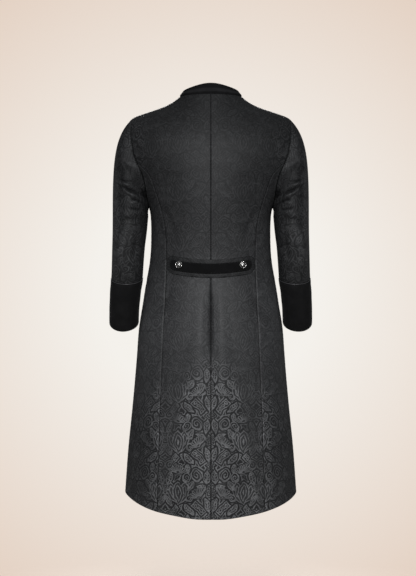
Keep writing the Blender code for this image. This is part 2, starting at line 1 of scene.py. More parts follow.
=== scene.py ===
"""Looks of a long fitted coat in black jacquard with velvet trim, as a hollow form seen from the back.

Metres, +Z up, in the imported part's frame: the wearer faces -Y, their left side is +X, and the origin
is the middle of the neck opening at the height of the nape. Every sewn piece is a thin wall of cloth
on its solid's form, with its own creases, seams and weave.
"""

import math

import bmesh
import bpy
import numpy as np
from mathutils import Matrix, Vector


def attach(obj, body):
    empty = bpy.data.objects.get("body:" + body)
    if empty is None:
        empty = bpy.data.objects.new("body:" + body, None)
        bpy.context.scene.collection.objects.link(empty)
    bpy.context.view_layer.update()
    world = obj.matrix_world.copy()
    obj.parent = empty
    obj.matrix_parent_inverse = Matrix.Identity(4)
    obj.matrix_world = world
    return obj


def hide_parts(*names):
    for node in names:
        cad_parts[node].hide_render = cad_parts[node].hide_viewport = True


# The photograph's view: the scale is at the coat's middle plane, at the camera's distance
CAMERA_DISTANCE = 3.4
CAMERA_X = 0.0078
CAMERA_Z = -0.5347
METRES_PER_PIXEL = 0.0028
PHOTO_HEIGHT = 576
SENSOR = 36.0

# Cloth and seams
CLOTH = 0.0018
VELVET = 0.0022
COLLAR_CLOTH = 0.0026
SEAM = 0.00003
SEAM_LEAN = 0.0004  # how far the centre back seam leans through the cloth, so no light shows through it
LAYER_GAP = 0.0006
GROOVE = 0.0008
GROOVE_REACH = 0.0011
RIDGE = 0.00035
RIDGE_PLACE = 0.0048
RIDGE_REACH = 0.0024
PUCKER = 0.00028
PUCKER_REACH = 0.0080
PUCKER_STEP = 0.0125
PUCKER_DRIFT = 1.7  # how far the pucker's waves slide to and fro, in radians
PUCKER_DRIFT_STEP = 0.053
PUCKER_CALM = 0.002
EDGE_SHARE = 0.45  # share of the wall that a free edge's rounding takes from each face
EDGE_REACH = 0.9  # how far in from the edge its rounding starts, as a share of the wall
SHARP_DEG = 50
SEAM_GLINT = 0.4
SIDES = (("left", 1), ("right", -1))
BODY_STEPS = (0.0015, 0.004)  # steps in metres and radians that a surface's normals are worked out from
SLEEVE_STEPS = (0.002, 0.01)
CUFF_STEPS = (-0.001, 0.01)  # minus, as rows of the cuff are given by height and the sleeve's run down

# Rings of the body from hem to neck, smooth between rows. Each ring is level at the back, the side
# and the front, at three heights. Depths are the places of those three on Y, and square_back and
# square_front say how square the ring is, 2 being an ellipse.
RING_COLUMNS = (
    "z_side", "z_back", "z_front", "half_width", "y_back", "y_side", "y_front", "square_back", "square_front",
)
RINGS = (
    (-1.102, -1.154, -1.112, 0.2390, 0.158, 0.004, -0.150, 2.15, 2.15),
    (-0.985, -1.020, -0.992, 0.2305, 0.149, 0.004, -0.144, 2.15, 2.15),
    (-0.860, -0.880, -0.864, 0.2180, 0.139, 0.003, -0.138, 2.18, 2.15),
    (-0.750, -0.762, -0.752, 0.2083, 0.131, 0.002, -0.133, 2.20, 2.15),
    (-0.655, -0.660, -0.656, 0.2015, 0.122, 0.002, -0.128, 2.22, 2.15),
    (-0.578, -0.580, -0.578, 0.1895, 0.108, 0.002, -0.121, 2.22, 2.15),
    (-0.520, -0.520, -0.520, 0.1805, 0.096, 0.001, -0.116, 2.20, 2.15),
    (-0.460, -0.460, -0.460, 0.1700, 0.091, 0.000, -0.114, 2.20, 2.15),
    (-0.420, -0.420, -0.420, 0.1668, 0.094, 0.000, -0.117, 2.25, 2.15),
    (-0.370, -0.370, -0.371, 0.1662, 0.100, 0.000, -0.122, 2.33, 2.12),
    (-0.311, -0.312, -0.316, 0.1705, 0.107, 0.000, -0.127, 2.30, 2.05),
    (-0.290, -0.293, -0.298, 0.1820, 0.109, 0.000, -0.128, 2.20, 2.00),
    (-0.258, -0.263, -0.270, 0.1970, 0.111, 0.000, -0.128, 2.15, 2.00),
    (-0.220, -0.229, -0.238, 0.2150, 0.112, 0.000, -0.126, 2.12, 2.00),
    (-0.190, -0.204, -0.215, 0.2330, 0.112, 0.000, -0.124, 2.12, 2.00),
    (-0.157, -0.177, -0.192, 0.2440, 0.110, -0.001, -0.121, 2.15, 2.00),
    (-0.110, -0.140, -0.163, 0.2425, 0.106, -0.002, -0.114, 2.12, 2.00),
    (-0.085, -0.121, -0.151, 0.2340, 0.102, -0.002, -0.109, 2.04, 2.00),
    (-0.0615, -0.102, -0.139, 0.2212, 0.097, -0.003, -0.104, 1.96, 1.96),
    (-0.044, -0.080, -0.125, 0.1765, 0.090, -0.004, -0.098, 1.96, 1.96),
    (-0.028, -0.052, -0.108, 0.1305, 0.081, -0.005, -0.091, 1.98, 1.98),
    (-0.014, -0.024, -0.093, 0.1045, 0.071, -0.005, -0.084, 2.00, 2.00),
    (0.000, 0.000, -0.080, 0.0865, 0.062, -0.006, -0.076, 2.00, 2.00),
)
HEM_Z = RINGS[0][0]

# The rings are averaged over a short reach up and down, so that no row shows as a line
REACH_Z = (-1.102, -1.080, -0.270, -0.200, -0.014, 0.0)
REACH = (0.0, 0.022, 0.022, 0.007, 0.007, 0.0)
REACH_WEIGHTS = ((-1.0, 0.10), (-0.5, 0.24), (0.0, 0.32), (0.5, 0.24), (1.0, 0.10))

# Soft folds of the skirt. Angles run from the centre back towards the wearer's left, and a negative
# depth is a trough. A fold starts at z_top and is full from z_full down, where hem_share of it stays.
FOLD_SPREAD = 1.6  # a fold eases out over this many of its half widths
FOLD_COLUMNS = ("angle_deg", "half_width_deg", "depth", "z_top", "z_full", "hem_share")
FOLDS = (
    (0, 9, -0.0050, -0.500, -0.600, 0.15),
    (15, 10, 0.0018, -0.520, -0.640, 0.60),
    (-14, 9, 0.0016, -0.520, -0.620, 0.70),
    (34, 12, -0.0030, -0.560, -0.900, 1.60),
    (-31, 11, -0.0026, -0.540, -0.860, 1.70),
    (57, 14, 0.0026, -0.600, -0.960, 1.50),
    (-60, 15, 0.0030, -0.620, -0.940, 1.40),
    (112, 16, -0.0040, -0.560, -0.900, 1.50),
    (-108, 15, -0.0036, -0.560, -0.920, 1.50),
    (137, 13, 0.0036, -0.540, -0.880, 1.50),
    (-134, 14, 0.0034, -0.560, -0.900, 1.40),
    (160, 9, -0.0026, -0.620, -0.980, 1.50),
    (-158, 9, -0.0024, -0.620, -0.960, 1.50),
)

# Creases of the body by angle from the centre back and height. bend bows a crease to its right.
CREASE_COLUMNS = ("deg_start", "z_start", "deg_end", "z_end", "half_width", "bend", "depth")
CREASE_FADE = 0.8  # how fast a crease fades across its width
CREASE_BANK = 0.75  # how much the cloth banks up beside a crease
CREASE_START = 0.35  # shares of a crease's length over which it grows and dies away
CREASE_END = 0.45
BODY_METRES_PER_DEG = 0.0028
BODY_CREASES = (
    (0, -0.500, 0, -0.780, 0.0085, 0.0, -0.0030),
    (66, -0.290, 47, -0.425, 0.010, 0.010, -0.0013),
    (-64, -0.300, -45, -0.430, 0.011, -0.010, -0.0014),
    (72, -0.330, 58, -0.440, 0.008, 0.006, -0.0010),
    (-75, -0.345, -57, -0.445, 0.008, -0.005, -0.0011),
    (62, -0.200, 24, -0.178, 0.016, 0.006, -0.0009),
    (-63, -0.208, -26, -0.172, 0.015, -0.006, -0.0010),
    (58, -0.236, 34, -0.226, 0.012, 0.004, -0.0008),
    (-60, -0.240, -33, -0.234, 0.011, -0.004, -0.0007),
    (52, -0.452, 92, -0.470, 0.008, 0.004, -0.0013),
    (-50, -0.455, -90, -0.466, 0.008, -0.004, -0.0012),
    (60, -0.500, 96, -0.522, 0.009, 0.004, -0.0012),
    (-58, -0.497, -93, -0.524, 0.009, -0.004, -0.0014),
    (50, -0.520, 74, -0.640, 0.013, 0.012, -0.0016),
    (-51, -0.520, -73, -0.650, 0.014, -0.012, -0.0015),
    (84, -0.560, 88, -0.760, 0.014, 0.006, -0.0014),
    (-83, -0.570, -88, -0.740, 0.014, -0.006, -0.0014),
    (105, -0.470, 140, -0.490, 0.009, 0.006, -0.0016),
    (-103, -0.466, -138, -0.494, 0.009, -0.006, -0.0015),
    (112, -0.430, 150, -0.440, 0.010, 0.005, -0.0012),
    (-110, -0.432, -149, -0.436, 0.010, -0.005, -0.0013),
    (118, -0.300, 145, -0.400, 0.012, 0.010, -0.0016),
    (-117, -0.305, -146, -0.395, 0.012, -0.010, -0.0016),
    (125, -0.215, 160, -0.170, 0.014, 0.008, -0.0012),
    (-124, -0.220, -158, -0.176, 0.014, -0.008, -0.0012),
    (128, -0.520, 150, -0.660, 0.014, 0.010, -0.0018),
    (-127, -0.525, -151, -0.670, 0.014, -0.010, -0.0017),
)

# Armhole, from its top at the shoulder tip to its bottom under the arm, as heights at the side
ARMHOLE_TOP = -0.0615
ARMHOLE_BOTTOM = -0.311
ARMHOLE_BACK_DEPTH = 0.060
ARMHOLE_FRONT_DEPTH = 0.062
ARMHOLE_STEP_DEG = 3

# Princess seam of the back: half width at each side height, from the armhole to the hem
PRINCESS_COLUMNS = ("z_side", "x")
PRINCESS = (
    (-1.102, 0.1445), (-0.824, 0.1365), (-0.650, 0.1300), (-0.4445, 0.1226), (-0.376, 0.1252),
    (-0.311, 0.1385), (-0.264, 0.1530), (-0.222, 0.1690), (-0.18625, 0.2010),
)
PRINCESS_TIP = 0.15

# Fine rows and columns of the cloth
SKIRT_STEP = 0.0048
SHOULDER_STEPS = 20
HEM_OFFSETS = (0.0, 0.0006, 0.0013, 0.0022, 0.0036)
EDGE_OFFSETS = (0.0, 0.0006, 0.0013, 0.0021, 0.0031, 0.0044, 0.0062)
BACK_COLUMNS, BACK_WIDTH = 27, 0.135  # each panel's inner columns, and the width its edge columns suit
VENT_COLUMNS, VENT_WIDTH = 23, 0.12
SIDE_BACK_COLUMNS, SIDE_BACK_WIDTH = 17, 0.085
FRONT_COLUMNS, FRONT_WIDTH = 52, 0.26
WAIST_Z = -0.46
PANEL_SEAMS = ("first_column", "last_column", "last_row")

# Centre back vent: the right back passes under the left one by the underlap
VENT_OPEN = -0.758
VENT_START = -0.744
VENT_FULL = -0.770
UNDERLAP = 0.035
VENT_LINE = 0.55  # the painted shadow line along the vent's edge is this much slower to fade than a seam's
VENT_EDGE = EDGE_OFFSETS[1:4]
FRONT_OVERLAP = 0.025
LAP_STEP = 0.011
LAP_EDGE = 0.004
VENT_SHARES = np.array([
    0.0, 0.12, 0.25, 0.38, 0.50, 0.60, 0.64, 0.67, 0.69, 0.70, 0.71, 0.73, 0.76, 0.80, 0.88, 1.0,
])

# Sleeve rings down the arm, by the height of the ring's middle. tilt_deg leans the ring forward.
ARM_COLUMNS = ("z", "x", "y", "half_width", "half_depth", "tilt_deg")
ARM = (
    (-0.636, 0.2485, -0.0855, 0.0408, 0.0500, 31),
    (-0.590, 0.2462, -0.0635, 0.0414, 0.0510, 26),
    (-0.550, 0.2420, -0.0450, 0.0425, 0.0518, 22),
    (-0.508, 0.2365, -0.0285, 0.0440, 0.0530, 18),
    (-0.460, 0.2330, -0.0120, 0.0448, 0.0560, 13),
    (-0.420, 0.2303, -0.0030, 0.0458, 0.0590, 7),
    (-0.380, 0.2270, 0.0010, 0.0478, 0.0620, 2),
    (-0.335, 0.2247, 0.0010, 0.0497, 0.0670, 0),
)
ARM_TOP = -0.335
CUFF_TOP = -0.508
CUFF_END = -0.633
CAP_STEPS = 64
CAP_EDGE = (0.0, 0.006, 0.012)  # rows by the armhole, as shares of the cap
ARM_STEP = 0.0042
ARM_EDGE = 0.0006
SLEEVE_EDGE_DEG = np.array([0.9, 1.9])  # columns beside the sleeve's seams
HIND_SEAM_WEIGHT = 0.4  # how deep the hind seam shows, against a seam that shows whole
SLEEVE_CALM_TOP = 0.2  # folds and creases grow over this share of the cap
SLEEVE_CALM_END = 0.02  # and fade over this height above the cuff
SLEEVE_FOLD_SPREAD = 1.4
HIND_SEAM = 120  # angle round the arm, from its outer side backwards
FORE_SEAM = 255
CAP_LEAVING = 0.81
CAP_MEETING = 1.08
CAP_COLUMNS = ("round_deg", "out", "back", "up")
CAP_DIRECTIONS = (
    (0, 0.71, 0.00, -0.71), (90, 0.93, 0.28, -0.25), (180, 0.75, 0.00, -0.66), (270, 0.93, -0.30, -0.22),
    (360, 0.71, 0.00, -0.71),
)
SLEEVE_FOLD_COLUMNS = ("round_deg", "z", "half_round_deg", "half_height", "lean", "depth")
SLEEVE_FOLDS = (
    (70, -0.205, 42, 0.020, 0.035, -0.0030),
    (95, -0.268, 38, 0.018, 0.030, -0.0028),
    (110, -0.345, 40, 0.018, -0.020, -0.0022),
    (255, -0.395, 50, 0.018, 0.015, -0.0034),
    (275, -0.440, 45, 0.016, -0.010, -0.0030),
    (85, -0.420, 35, 0.022, 0.020, 0.0020),
)
SLEEVE_METRES_PER_DEG = 0.00092
SLEEVE_CREASES = (
    (57, -0.231, 104, -0.246, 0.0045, 0.003, -0.0024),
    (60, -0.243, 118, -0.262, 0.0045, -0.002, 0.0020),
    (70, -0.256, 130, -0.276, 0.0045, 0.002, -0.0028),
    (75, -0.270, 128, -0.291, 0.0045, -0.002, 0.0026),
    (92, -0.287, 140, -0.300, 0.0040, 0.001, -0.0026),
    (88, -0.303, 126, -0.292, 0.0045, 0.002, 0.0022),
    (80, -0.314, 140, -0.318, 0.0050, 0.002, -0.0020),
    (96, -0.190, 148, -0.236, 0.0055, 0.003, -0.0024),
    (84, -0.186, 132, -0.238, 0.0050, 0.002, 0.0018),
    (66, -0.184, 100, -0.222, 0.0050, -0.002, -0.0018),
    (120, -0.255, 156, -0.300, 0.0050, 0.002, -0.0026),
    (128, -0.338, 52, -0.346, 0.0070, -0.003, -0.0014),
    (104, -0.212, 40, -0.170, 0.0070, 0.003, 0.0013),
    (112, -0.262, 60, -0.246, 0.0050, 0.002, 0.0014),
    (84, -0.345, 62, -0.495, 0.0110, 0.004, 0.0024),
    (118, -0.370, 100, -0.480, 0.0090, -0.004, -0.0012),
    (196, -0.372, 296, -0.392, 0.0070, 0.004, -0.0024),
    (205, -0.402, 310, -0.414, 0.0075, -0.003, -0.0030),
    (214, -0.432, 300, -0.425, 0.0065, 0.003, -0.0022),
    (222, -0.300, 292, -0.250, 0.0085, 0.005, -0.0026),
    (224, -0.332, 305, -0.300, 0.0080, -0.004, -0.0022),
    (20, -0.400, 80, -0.425, 0.0090, 0.003, -0.0010),
    (342, -0.170, 300, -0.215, 0.0085, 0.004, -0.0012),
)
CUFF_PROUD = 0.0014
CUFF_PROUD_START = 0.3  # share of it at the cuff's top. It is whole this reach below the top:
CUFF_PROUD_REACH = 0.004
CUFF_WAVE = 0.00022
CUFF_WAVE_LENGTH = 0.1
CUFF_WAVES = ((1.0, 3, 9, 0.0), (0.6, 5, -14, 1.0))  # share, times round, slant and start of each wave
CUFF_CALM = 0.02
CUFF_EDGE = np.array([0.0, 0.0005, 0.0011, 0.0019, 0.003])
CUFF_EDGE_ZONE = 0.0075
CUFF_ROWS = 26
CUFF_STEP_DEG = 3.0
PIPING_STEP_DEG = 2.5
PIPING_OUT = 0.0003
PIPING_RADIUS = 0.0013

# Collar: height above the neck seam and lean towards the neck
COLLAR_HEIGHT_BACK = 0.0317
COLLAR_HEIGHT_SIDE = 0.0175
COLLAR_HEIGHT_FRONT = 0.0290
COLLAR_LEAN = 0.0095
COLLAR_FRONT_GAP = 0.003
COLLAR_TIP = 0.2
COLLAR_COLUMNS = 260
COLLAR_ENDS = np.array([0.0, 0.0035, 0.008, 0.014])
COLLAR_ROWS = 15
COLLAR_ROWS_END = 0.86
COLLAR_TOP_ROWS = (0.91, 0.945, 0.97, 0.988, 1.0)
COLLAR_CENTRE_Y = -0.006
COLLAR_WAVE = 0.0004
COLLAR_WAVES = 7
COLLAR_WAVE_START = 1
COLLAR_LEAN_POWER = 1.4
COLLAR_ROLL = 0.0014
COLLAR_ROLL_PLACE = 0.36
COLLAR_ROLL_REACH = 0.20
COLLAR_HIGHLIGHT_BAND = (0.16, 0.60)  # where the painted highlight band starts and ends, as shares of the height
COLLAR_HIGHLIGHT_SOFT = 0.12

# Half-belt on the back of the waist
BELT_HALF_LENGTH = 0.1110
BELT_HALF_HEIGHT = 0.0142
BELT_FRAME = 0.0108
BELT_MIDDLE_Z = -0.4825
BELT_END_RISE = 0.0125
BELT_END_SHARE = 0.8  # depth of its rounded ends as a share of its half height
STITCH_LENGTH = 0.0030
STITCH_GAP = 0.0011
STITCH_RADIUS = 0.00028
STITCH_INSET = 0.0022
STITCH_SINK = 0.0003  # how deep a stitch's two ends go into the cloth
FRAME_STITCH_LOW = 0.0002  # how far the belt's lines of stitches lie under the face of each layer
STRIP_STITCH_LOW = 0.0003
STITCH_LINE_STEPS = 400
STITCH_END_STEPS = 60
LIFT_STEP = 0.01
STITCH_SIDES = 6
STITCH_DENT = 0.0004
STITCH_DENT_REACH = 0.0009
BELT_COLUMNS = 90
BELT_END_DEG = (87, 80, 72, 63, 54, 45, 36, 27, 18, 9)
BELT_ROW_DEG = (90, 76, 64, 53, 42, 32, 21, 10)
BELT_EDGE_REACH = 1.3  # how far in its rounded edge starts, in walls, and how much of a wall it takes
BELT_EDGE_SHARE = 0.8
BELT_SWELL = 0.00025
BELT_SWELL_LENGTH = 0.041
BELT_SWELL_START = 0.7
BELT_SWELL_EDGE = 0.006
HOLE_START = 0.002
HOLE_LENGTH = 0.021
HOLE_STEPS = 60
HOLE_HALF = 0.0009
HOLE_LIFT = 0.0001
HOLE_STITCH = 0.0010
HOLE_STITCH_GAP = 0.0001

# Colours
VELVET_LOW = (0.0052, 0.0052, 0.0054)
VELVET_HIGH = (0.0068, 0.0068, 0.0072)
PIPING_LOW = (0.028, 0.028, 0.030)
PIPING_HIGH = (0.050, 0.050, 0.053)
JACQUARD_GROUND = (0.0130, 0.0133, 0.0140)
JACQUARD_LINE = (0.110, 0.112, 0.116)
CUFF_TONE = 1.6
COLLAR_TONE = 1.6
COLLAR_HIGHLIGHT_TONE = 1.6
BELT_TONE = 0.9
BACK_GLINT = 0.2
SIDE_BACK_TONE = 0.92  # painted light across the side back: tone at its inner edge, and how much more its outer edge has
SIDE_BACK_RIM_LIGHT = 0.2
BODY_CREASE_SHADE = 60.0  # painted light and shade of creases: how much a metre of crease height lightens the cloth
SLEEVE_CREASE_SHADE = 260.0
CREASE_SHADE_RANGE = (0.4, 1.7)
# strength of the painted highlight line beside the side backs' seams, by height
GLINT_Z = (-0.86, -0.78, -0.46, -0.38)
GLINT = (1.8, 0.2, 0.2, 0.9)
# Painted light and shade by height: the tone of the back, the side backs and the sleeves, and of the sleeves'
# outward-facing sides, standing in for how light falls on them
PAINTED_LIGHT_COLUMNS = ("z", "back", "side_back", "sleeve", "sleeve_side")
PAINTED_LIGHT_TONES = (
    (-1.15, 0.94, 1.00, 1.00, 1.30), (-0.95, 0.94, 1.00, 1.00, 1.30), (-0.81, 1.02, 1.36, 1.00, 1.30),
    (-0.73, 1.13, 1.47, 1.00, 1.30), (-0.65, 1.20, 1.52, 0.96, 1.30), (-0.54, 1.06, 1.38, 0.95, 1.30),
    (-0.465, 1.06, 1.28, 0.93, 1.45), (-0.39, 1.08, 1.22, 0.80, 1.55), (-0.30, 0.94, 0.98, 0.62, 1.60),
    (-0.215, 0.88, 0.90, 0.52, 1.45), (-0.135, 0.85, 0.90, 0.70, 0.85), (-0.05, 0.84, 0.90, 0.78, 0.80),
)
SIDE_FACING = (0.50, 0.90)  # how far outwards the sleeve faces where its painted rim light starts and is whole
MIDDLE_SIDE = (0.02, 0.10, 0.13)  # places from the middle to the sides of the back
# tone of the painted sheen at each of those places, lightest along the middle of the back
MIDDLE_SHEEN_TONE = (1.05, 0.92, 0.95)
BELT_FRAME_TONE = 0.62

# Buttons
BUTTON_RADIUS = 0.0098
BUTTON_DOME = (
    (0.00, 0.0070), (0.20, 0.0069), (0.34, 0.0066), (0.50, 0.0060), (0.62, 0.0054), (0.74, 0.0045),
    (0.80, 0.0036), (0.84, 0.0034), (0.88, 0.0037), (0.93, 0.0038), (0.97, 0.0035), (1.00, 0.0028),
)
BUTTON_UNDER = ((0.985, 0.0020), (0.95, 0.0015), (0.40, 0.0010), (0.36, 0.0004), (0.36, 0.0000))
BUTTON_SHARES = (
    0.04, 0.08, 0.12, 0.16, *np.linspace(0.20, 0.74, 19), 0.77, 0.80, 0.82, 0.84, 0.86, 0.88, 0.905, 0.93,
    0.95, 0.97, 0.985, 1.0,
)
BUTTON_SIDES = 96
# Its generic relief: height of each ring, and its place and reach as shares of the radius
ROSETTE = (0.00035, 0.42, 0.17)
ROSETTE_PETALS = 8
ROSETTE_VALLEY = 0.45
BOSS = (0.00035, 0.0, 0.13)
BOSS_DIP = (-0.0003, 0.2, 0.05)
BEADS = (0.00022, 0.91, 0.05)
BEAD_COUNT = 30
BUTTON_SHARP_DEG = 60
BELT_BUTTON_X = 0.0855
BELT_BUTTON_Z = -0.4715
FRONT_BUTTON_Z = (-0.150, -0.238, -0.326, -0.414, -0.502)
FRONT_LOW_Z = -0.7
FRONT_STEPS = 600


def named(columns, rows):
    return [dict(zip(columns, row)) for row in rows]


def smooth_table(columns, rows):
    """Read a table by its first column, each other column as one smooth curve with no overshoot."""
    rows = sorted(rows)
    keys = np.array([row[0] for row in rows], float)
    steps = np.diff(keys)
    curves = {}
    for place, column in enumerate(columns[1:], start=1):
        values = np.array([row[place] for row in rows], float)
        slopes = np.diff(values) / steps
        bends = np.zeros_like(values)
        bends[0], bends[-1] = slopes[0], slopes[-1]
        for i in range(1, len(values) - 1):
            if slopes[i - 1] * slopes[i] > 0:
                before = 2 * steps[i] + steps[i - 1]
                after = steps[i] + 2 * steps[i - 1]
                bends[i] = (before + after) / (before / slopes[i - 1] + after / slopes[i])
        curves[column] = (values, bends)

    def read(column, key):
        values, bends = curves[column]
        key = np.clip(key, keys[0], keys[-1])
        i = np.clip(np.searchsorted(keys, key, side="right") - 1, 0, len(steps) - 1)
        t = (key - keys[i]) / steps[i]
        rise = t * t * (3 - 2 * t)
        leave = t * (1 - t) ** 2
        arrive = t * t * (t - 1)
        bend = leave * bends[i] + arrive * bends[i + 1]
        return values[i] * (1 - rise) + values[i + 1] * rise + steps[i] * bend

    return read


ring_rows = smooth_table(RING_COLUMNS, RINGS)
princess = smooth_table(PRINCESS_COLUMNS, PRINCESS)
arm = smooth_table(ARM_COLUMNS, ARM)
cap_direction = smooth_table(CAP_COLUMNS, CAP_DIRECTIONS)
painted_light_tones = smooth_table(PAINTED_LIGHT_COLUMNS, PAINTED_LIGHT_TONES)


def ease(value):
    value = np.clip(value, 0, 1)
    return value * value * (3 - 2 * value)


def unit(vectors):
    return vectors / np.maximum(np.linalg.norm(vectors, axis=-1, keepdims=True), 1e-12)


def turned(degrees):
    """The same turn as an angle from -180 to 180."""
    return (degrees + 180) % 360 - 180


def bell(value, place, reach):
    """1 at a place, and less on both sides of it."""
    return np.exp(-(((value - place) / reach) ** 2))


def normal_of(surface, first, second, steps):
    """Unit normal of a surface with two coordinates, from points a step away on each side."""
    along = surface(first + steps[0], second) - surface(first - steps[0], second)
    across = surface(first, second + steps[1]) - surface(first, second - steps[1])
    return unit(np.cross(along, across))


def ring(column, z):
    reach = np.interp(z, REACH_Z, REACH)
    return sum(weight * ring_rows(column, z + share * reach) for share, weight in REACH_WEIGHTS)


def half_ring(z, behind):
    """Depth and squareness of a ring's back half where behind is true, else of its front half."""
    y_side = ring("y_side", z)
    deep = np.where(behind, ring("y_back", z) - y_side, y_side - ring("y_front", z))
    return deep, np.where(behind, ring("square_back", z), ring("square_front", z))


def fold_depth(z, angle):
    """How far the skirt's folds move the cloth out at a side height and an angle in radians."""
    total = np.zeros(np.broadcast(z, angle).shape)
    for fold in named(FOLD_COLUMNS, FOLDS):
        away = turned(np.degrees(angle) - fold["angle_deg"])
        across = ease(1 - np.abs(away) / (FOLD_SPREAD * fold["half_width_deg"]))
        grown = ease((fold["z_top"] - z) / (fold["z_top"] - fold["z_full"]))
        to_hem = np.clip((fold["z_full"] - z) / (fold["z_full"] - HEM_Z), 0, 1)
        total = total + fold["depth"] * across * grown * (1 + (fold["hem_share"] - 1) * to_hem)
    return total


def body_point(z, angle, folded=True):
    """Point of the body's outer surface: z is its ring's height at the side, angle is 0 at the back."""
    z, angle = np.broadcast_arrays(np.asarray(z, float), np.asarray(angle, float))
    sine, cosine = np.sin(angle), np.cos(angle)
    behind = cosine >= 0
    wide = ring("half_width", z)
    deep, square = half_ring(z, behind)
    reach = ((np.abs(sine) / wide) ** square + (np.abs(cosine) / deep) ** square) ** (-1 / square)
    x, y = reach * sine, reach * cosine
    end_z = np.where(behind, ring("z_back", z), ring("z_front", z))
    height = z + (end_z - z) * (y / deep) ** 2
    if folded:
        push = fold_depth(z, angle)
        slope_x = np.sign(sine) * (np.abs(x) / wide) ** (square - 1) / wide
        slope_y = np.sign(cosine) * (np.abs(y) / deep) ** (square - 1) / deep
        steep = np.maximum(np.hypot(slope_x, slope_y), 1e-9)
        x, y = x + push * slope_x / steep, y + push * slope_y / steep
    return np.stack([x, y + ring("y_side", z), height], axis=-1)


def body_normal(z, angle, folded=True):
    return normal_of(lambda z, angle: body_point(z, angle, folded), z, angle, BODY_STEPS)


def angle_at_x(z, x):
    """Angle on the back half of a ring where it is x from the middle."""
    deep, square = half_ring(z, True)
    y = deep * np.maximum(1 - (np.abs(x) / ring("half_width", z)) ** square, 0) ** (1 / square)
    return np.arctan2(x, y)


def armhole(round_deg):
    """Side height and angle of the armhole: 0 at its top, 90 at the back, 180 under the arm."""
    turn = np.radians(round_deg)
    middle, half = (ARMHOLE_TOP + ARMHOLE_BOTTOM) / 2, (ARMHOLE_TOP - ARMHOLE_BOTTOM) / 2
    z = middle + half * np.cos(turn)
    sine = np.sin(turn)
    behind = sine >= 0
    deep, square = half_ring(z, behind)
    y = np.where(behind, ARMHOLE_BACK_DEPTH, ARMHOLE_FRONT_DEPTH) * sine
    x = ring("half_width", z) * np.maximum(1 - (np.abs(y) / deep) ** square, 0) ** (1 / square)
    return z, np.arctan2(x, y)


def crease_height(degrees, z, creases, metres_per_deg):
    """How far creases lift or sink the cloth, at an angle round it and a height."""
    total = np.zeros(np.broadcast(degrees, z).shape)
    for crease in named(CREASE_COLUMNS, creases):
        middle_deg = (crease["deg_start"] + crease["deg_end"]) / 2
        middle_z = (crease["z_start"] + crease["z_end"]) / 2
        run = (crease["deg_end"] - crease["deg_start"]) * metres_per_deg
        rise = crease["z_end"] - crease["z_start"]
        length = math.hypot(run, rise)
        over = turned(degrees - middle_deg) * metres_per_deg
        up = z - middle_z
        along = (over * run + up * rise) / length**2 + 0.5
        away = (over * rise - up * run) / length
        bow = crease["bend"] * np.sin(np.pi * np.clip(along, 0, 1))
        spread = ((away - bow) / crease["half_width"]) ** 2
        ends = ease(along / CREASE_START) * ease((1 - along) / CREASE_END)
        total = total + crease["depth"] * (1 - CREASE_BANK * spread) * np.exp(-CREASE_FADE * spread) * ends
    return total


def body_rows():
    """Heights of all rows, and each row's angle at the armhole's back and front or the side seam."""
    side = math.pi / 2
    steps = round((ARMHOLE_BOTTOM - HEM_Z) / SKIRT_STEP)
    skirt = np.linspace(HEM_Z + HEM_OFFSETS[-1], ARMHOLE_BOTTOM, steps)[1:-1]
    rows = [(HEM_Z + offset, side, side) for offset in HEM_OFFSETS]
    rows += [(z, side, side) for z in skirt]
    for turn in range(180, -1, -ARMHOLE_STEP_DEG):
        z, back = armhole(turn)
        on_hole = 0 < turn < 180
        front = armhole(360 - turn)[1] if on_hole else side
        rows.append((float(z), float(back) if on_hole else side, float(front)))
    shoulder = np.linspace(ARMHOLE_TOP, 0, SHOULDER_STEPS + 1)[1:-1]
    rows += [(z, side, side) for z in shoulder]
    rows += [(-offset, side, side) for offset in EDGE_OFFSETS[2::-1]]
    return rows


ROW_Z, ROW_BACK, ROW_FRONT = np.array(body_rows()).T
PRINCESS_ROW = int(np.argmax(ROW_Z > (ARMHOLE_TOP + ARMHOLE_BOTTOM) / 2 - 1e-6))
# The back panel's outer edge is the princess seam up to the armhole, then the armhole or shoulder seam
OUTER_BACK = np.where(
    np.arange(len(ROW_Z)) < PRINCESS_ROW, angle_at_x(ROW_Z, princess("x", ROW_Z)), ROW_BACK,
)


def shares(count, width):
    """Places of a panel's columns from 0 to 1, close together at both edges of this width."""
    near = np.array(EDGE_OFFSETS) / width
    between = np.linspace(near[-1], 1 - near[-1], count + 2)[1:-1]
    return np.concatenate([near, between, 1 - near[::-1]])


def distances(points):
    """How far each point of a grid lies from the grid's four edges, measured along it."""
    over = np.linalg.norm(np.diff(points, axis=1), axis=-1)
    up = np.linalg.norm(np.diff(points, axis=0), axis=-1)
    across = np.pad(np.cumsum(over, axis=1), ((0, 0), (1, 0)))
    along = np.pad(np.cumsum(up, axis=0), ((1, 0), (0, 0)))
    return {
        "first_column": across,
        "last_column": across[:, -1:] - across,
        "first_row": along,
        "last_row": along[-1:] - along,
    }


def trimmed(points, normals, edges, amount=SEAM / 2):
    """Move a piece's edges in from its seam lines. Edges are first or last row or column."""
    moved = points.copy()
    cuts = {
        "first_row": (np.s_[0, :], np.s_[1, :]),
        "last_row": (np.s_[-1, :], np.s_[-2, :]),
        "first_column": (np.s_[:, 0], np.s_[:, 1]),
        "last_column": (np.s_[:, -1], np.s_[:, -2]),
    }
    for edge in edges:
        rim, inside = cuts[edge]
        along = unit(np.gradient(points[rim], axis=0))
        inward = unit(np.cross(normals[rim], along))
        side = np.sign(np.sum(inward * (points[inside] - points[rim]), axis=-1, keepdims=True))
        moved[rim] += inward * side * amount
    return moved


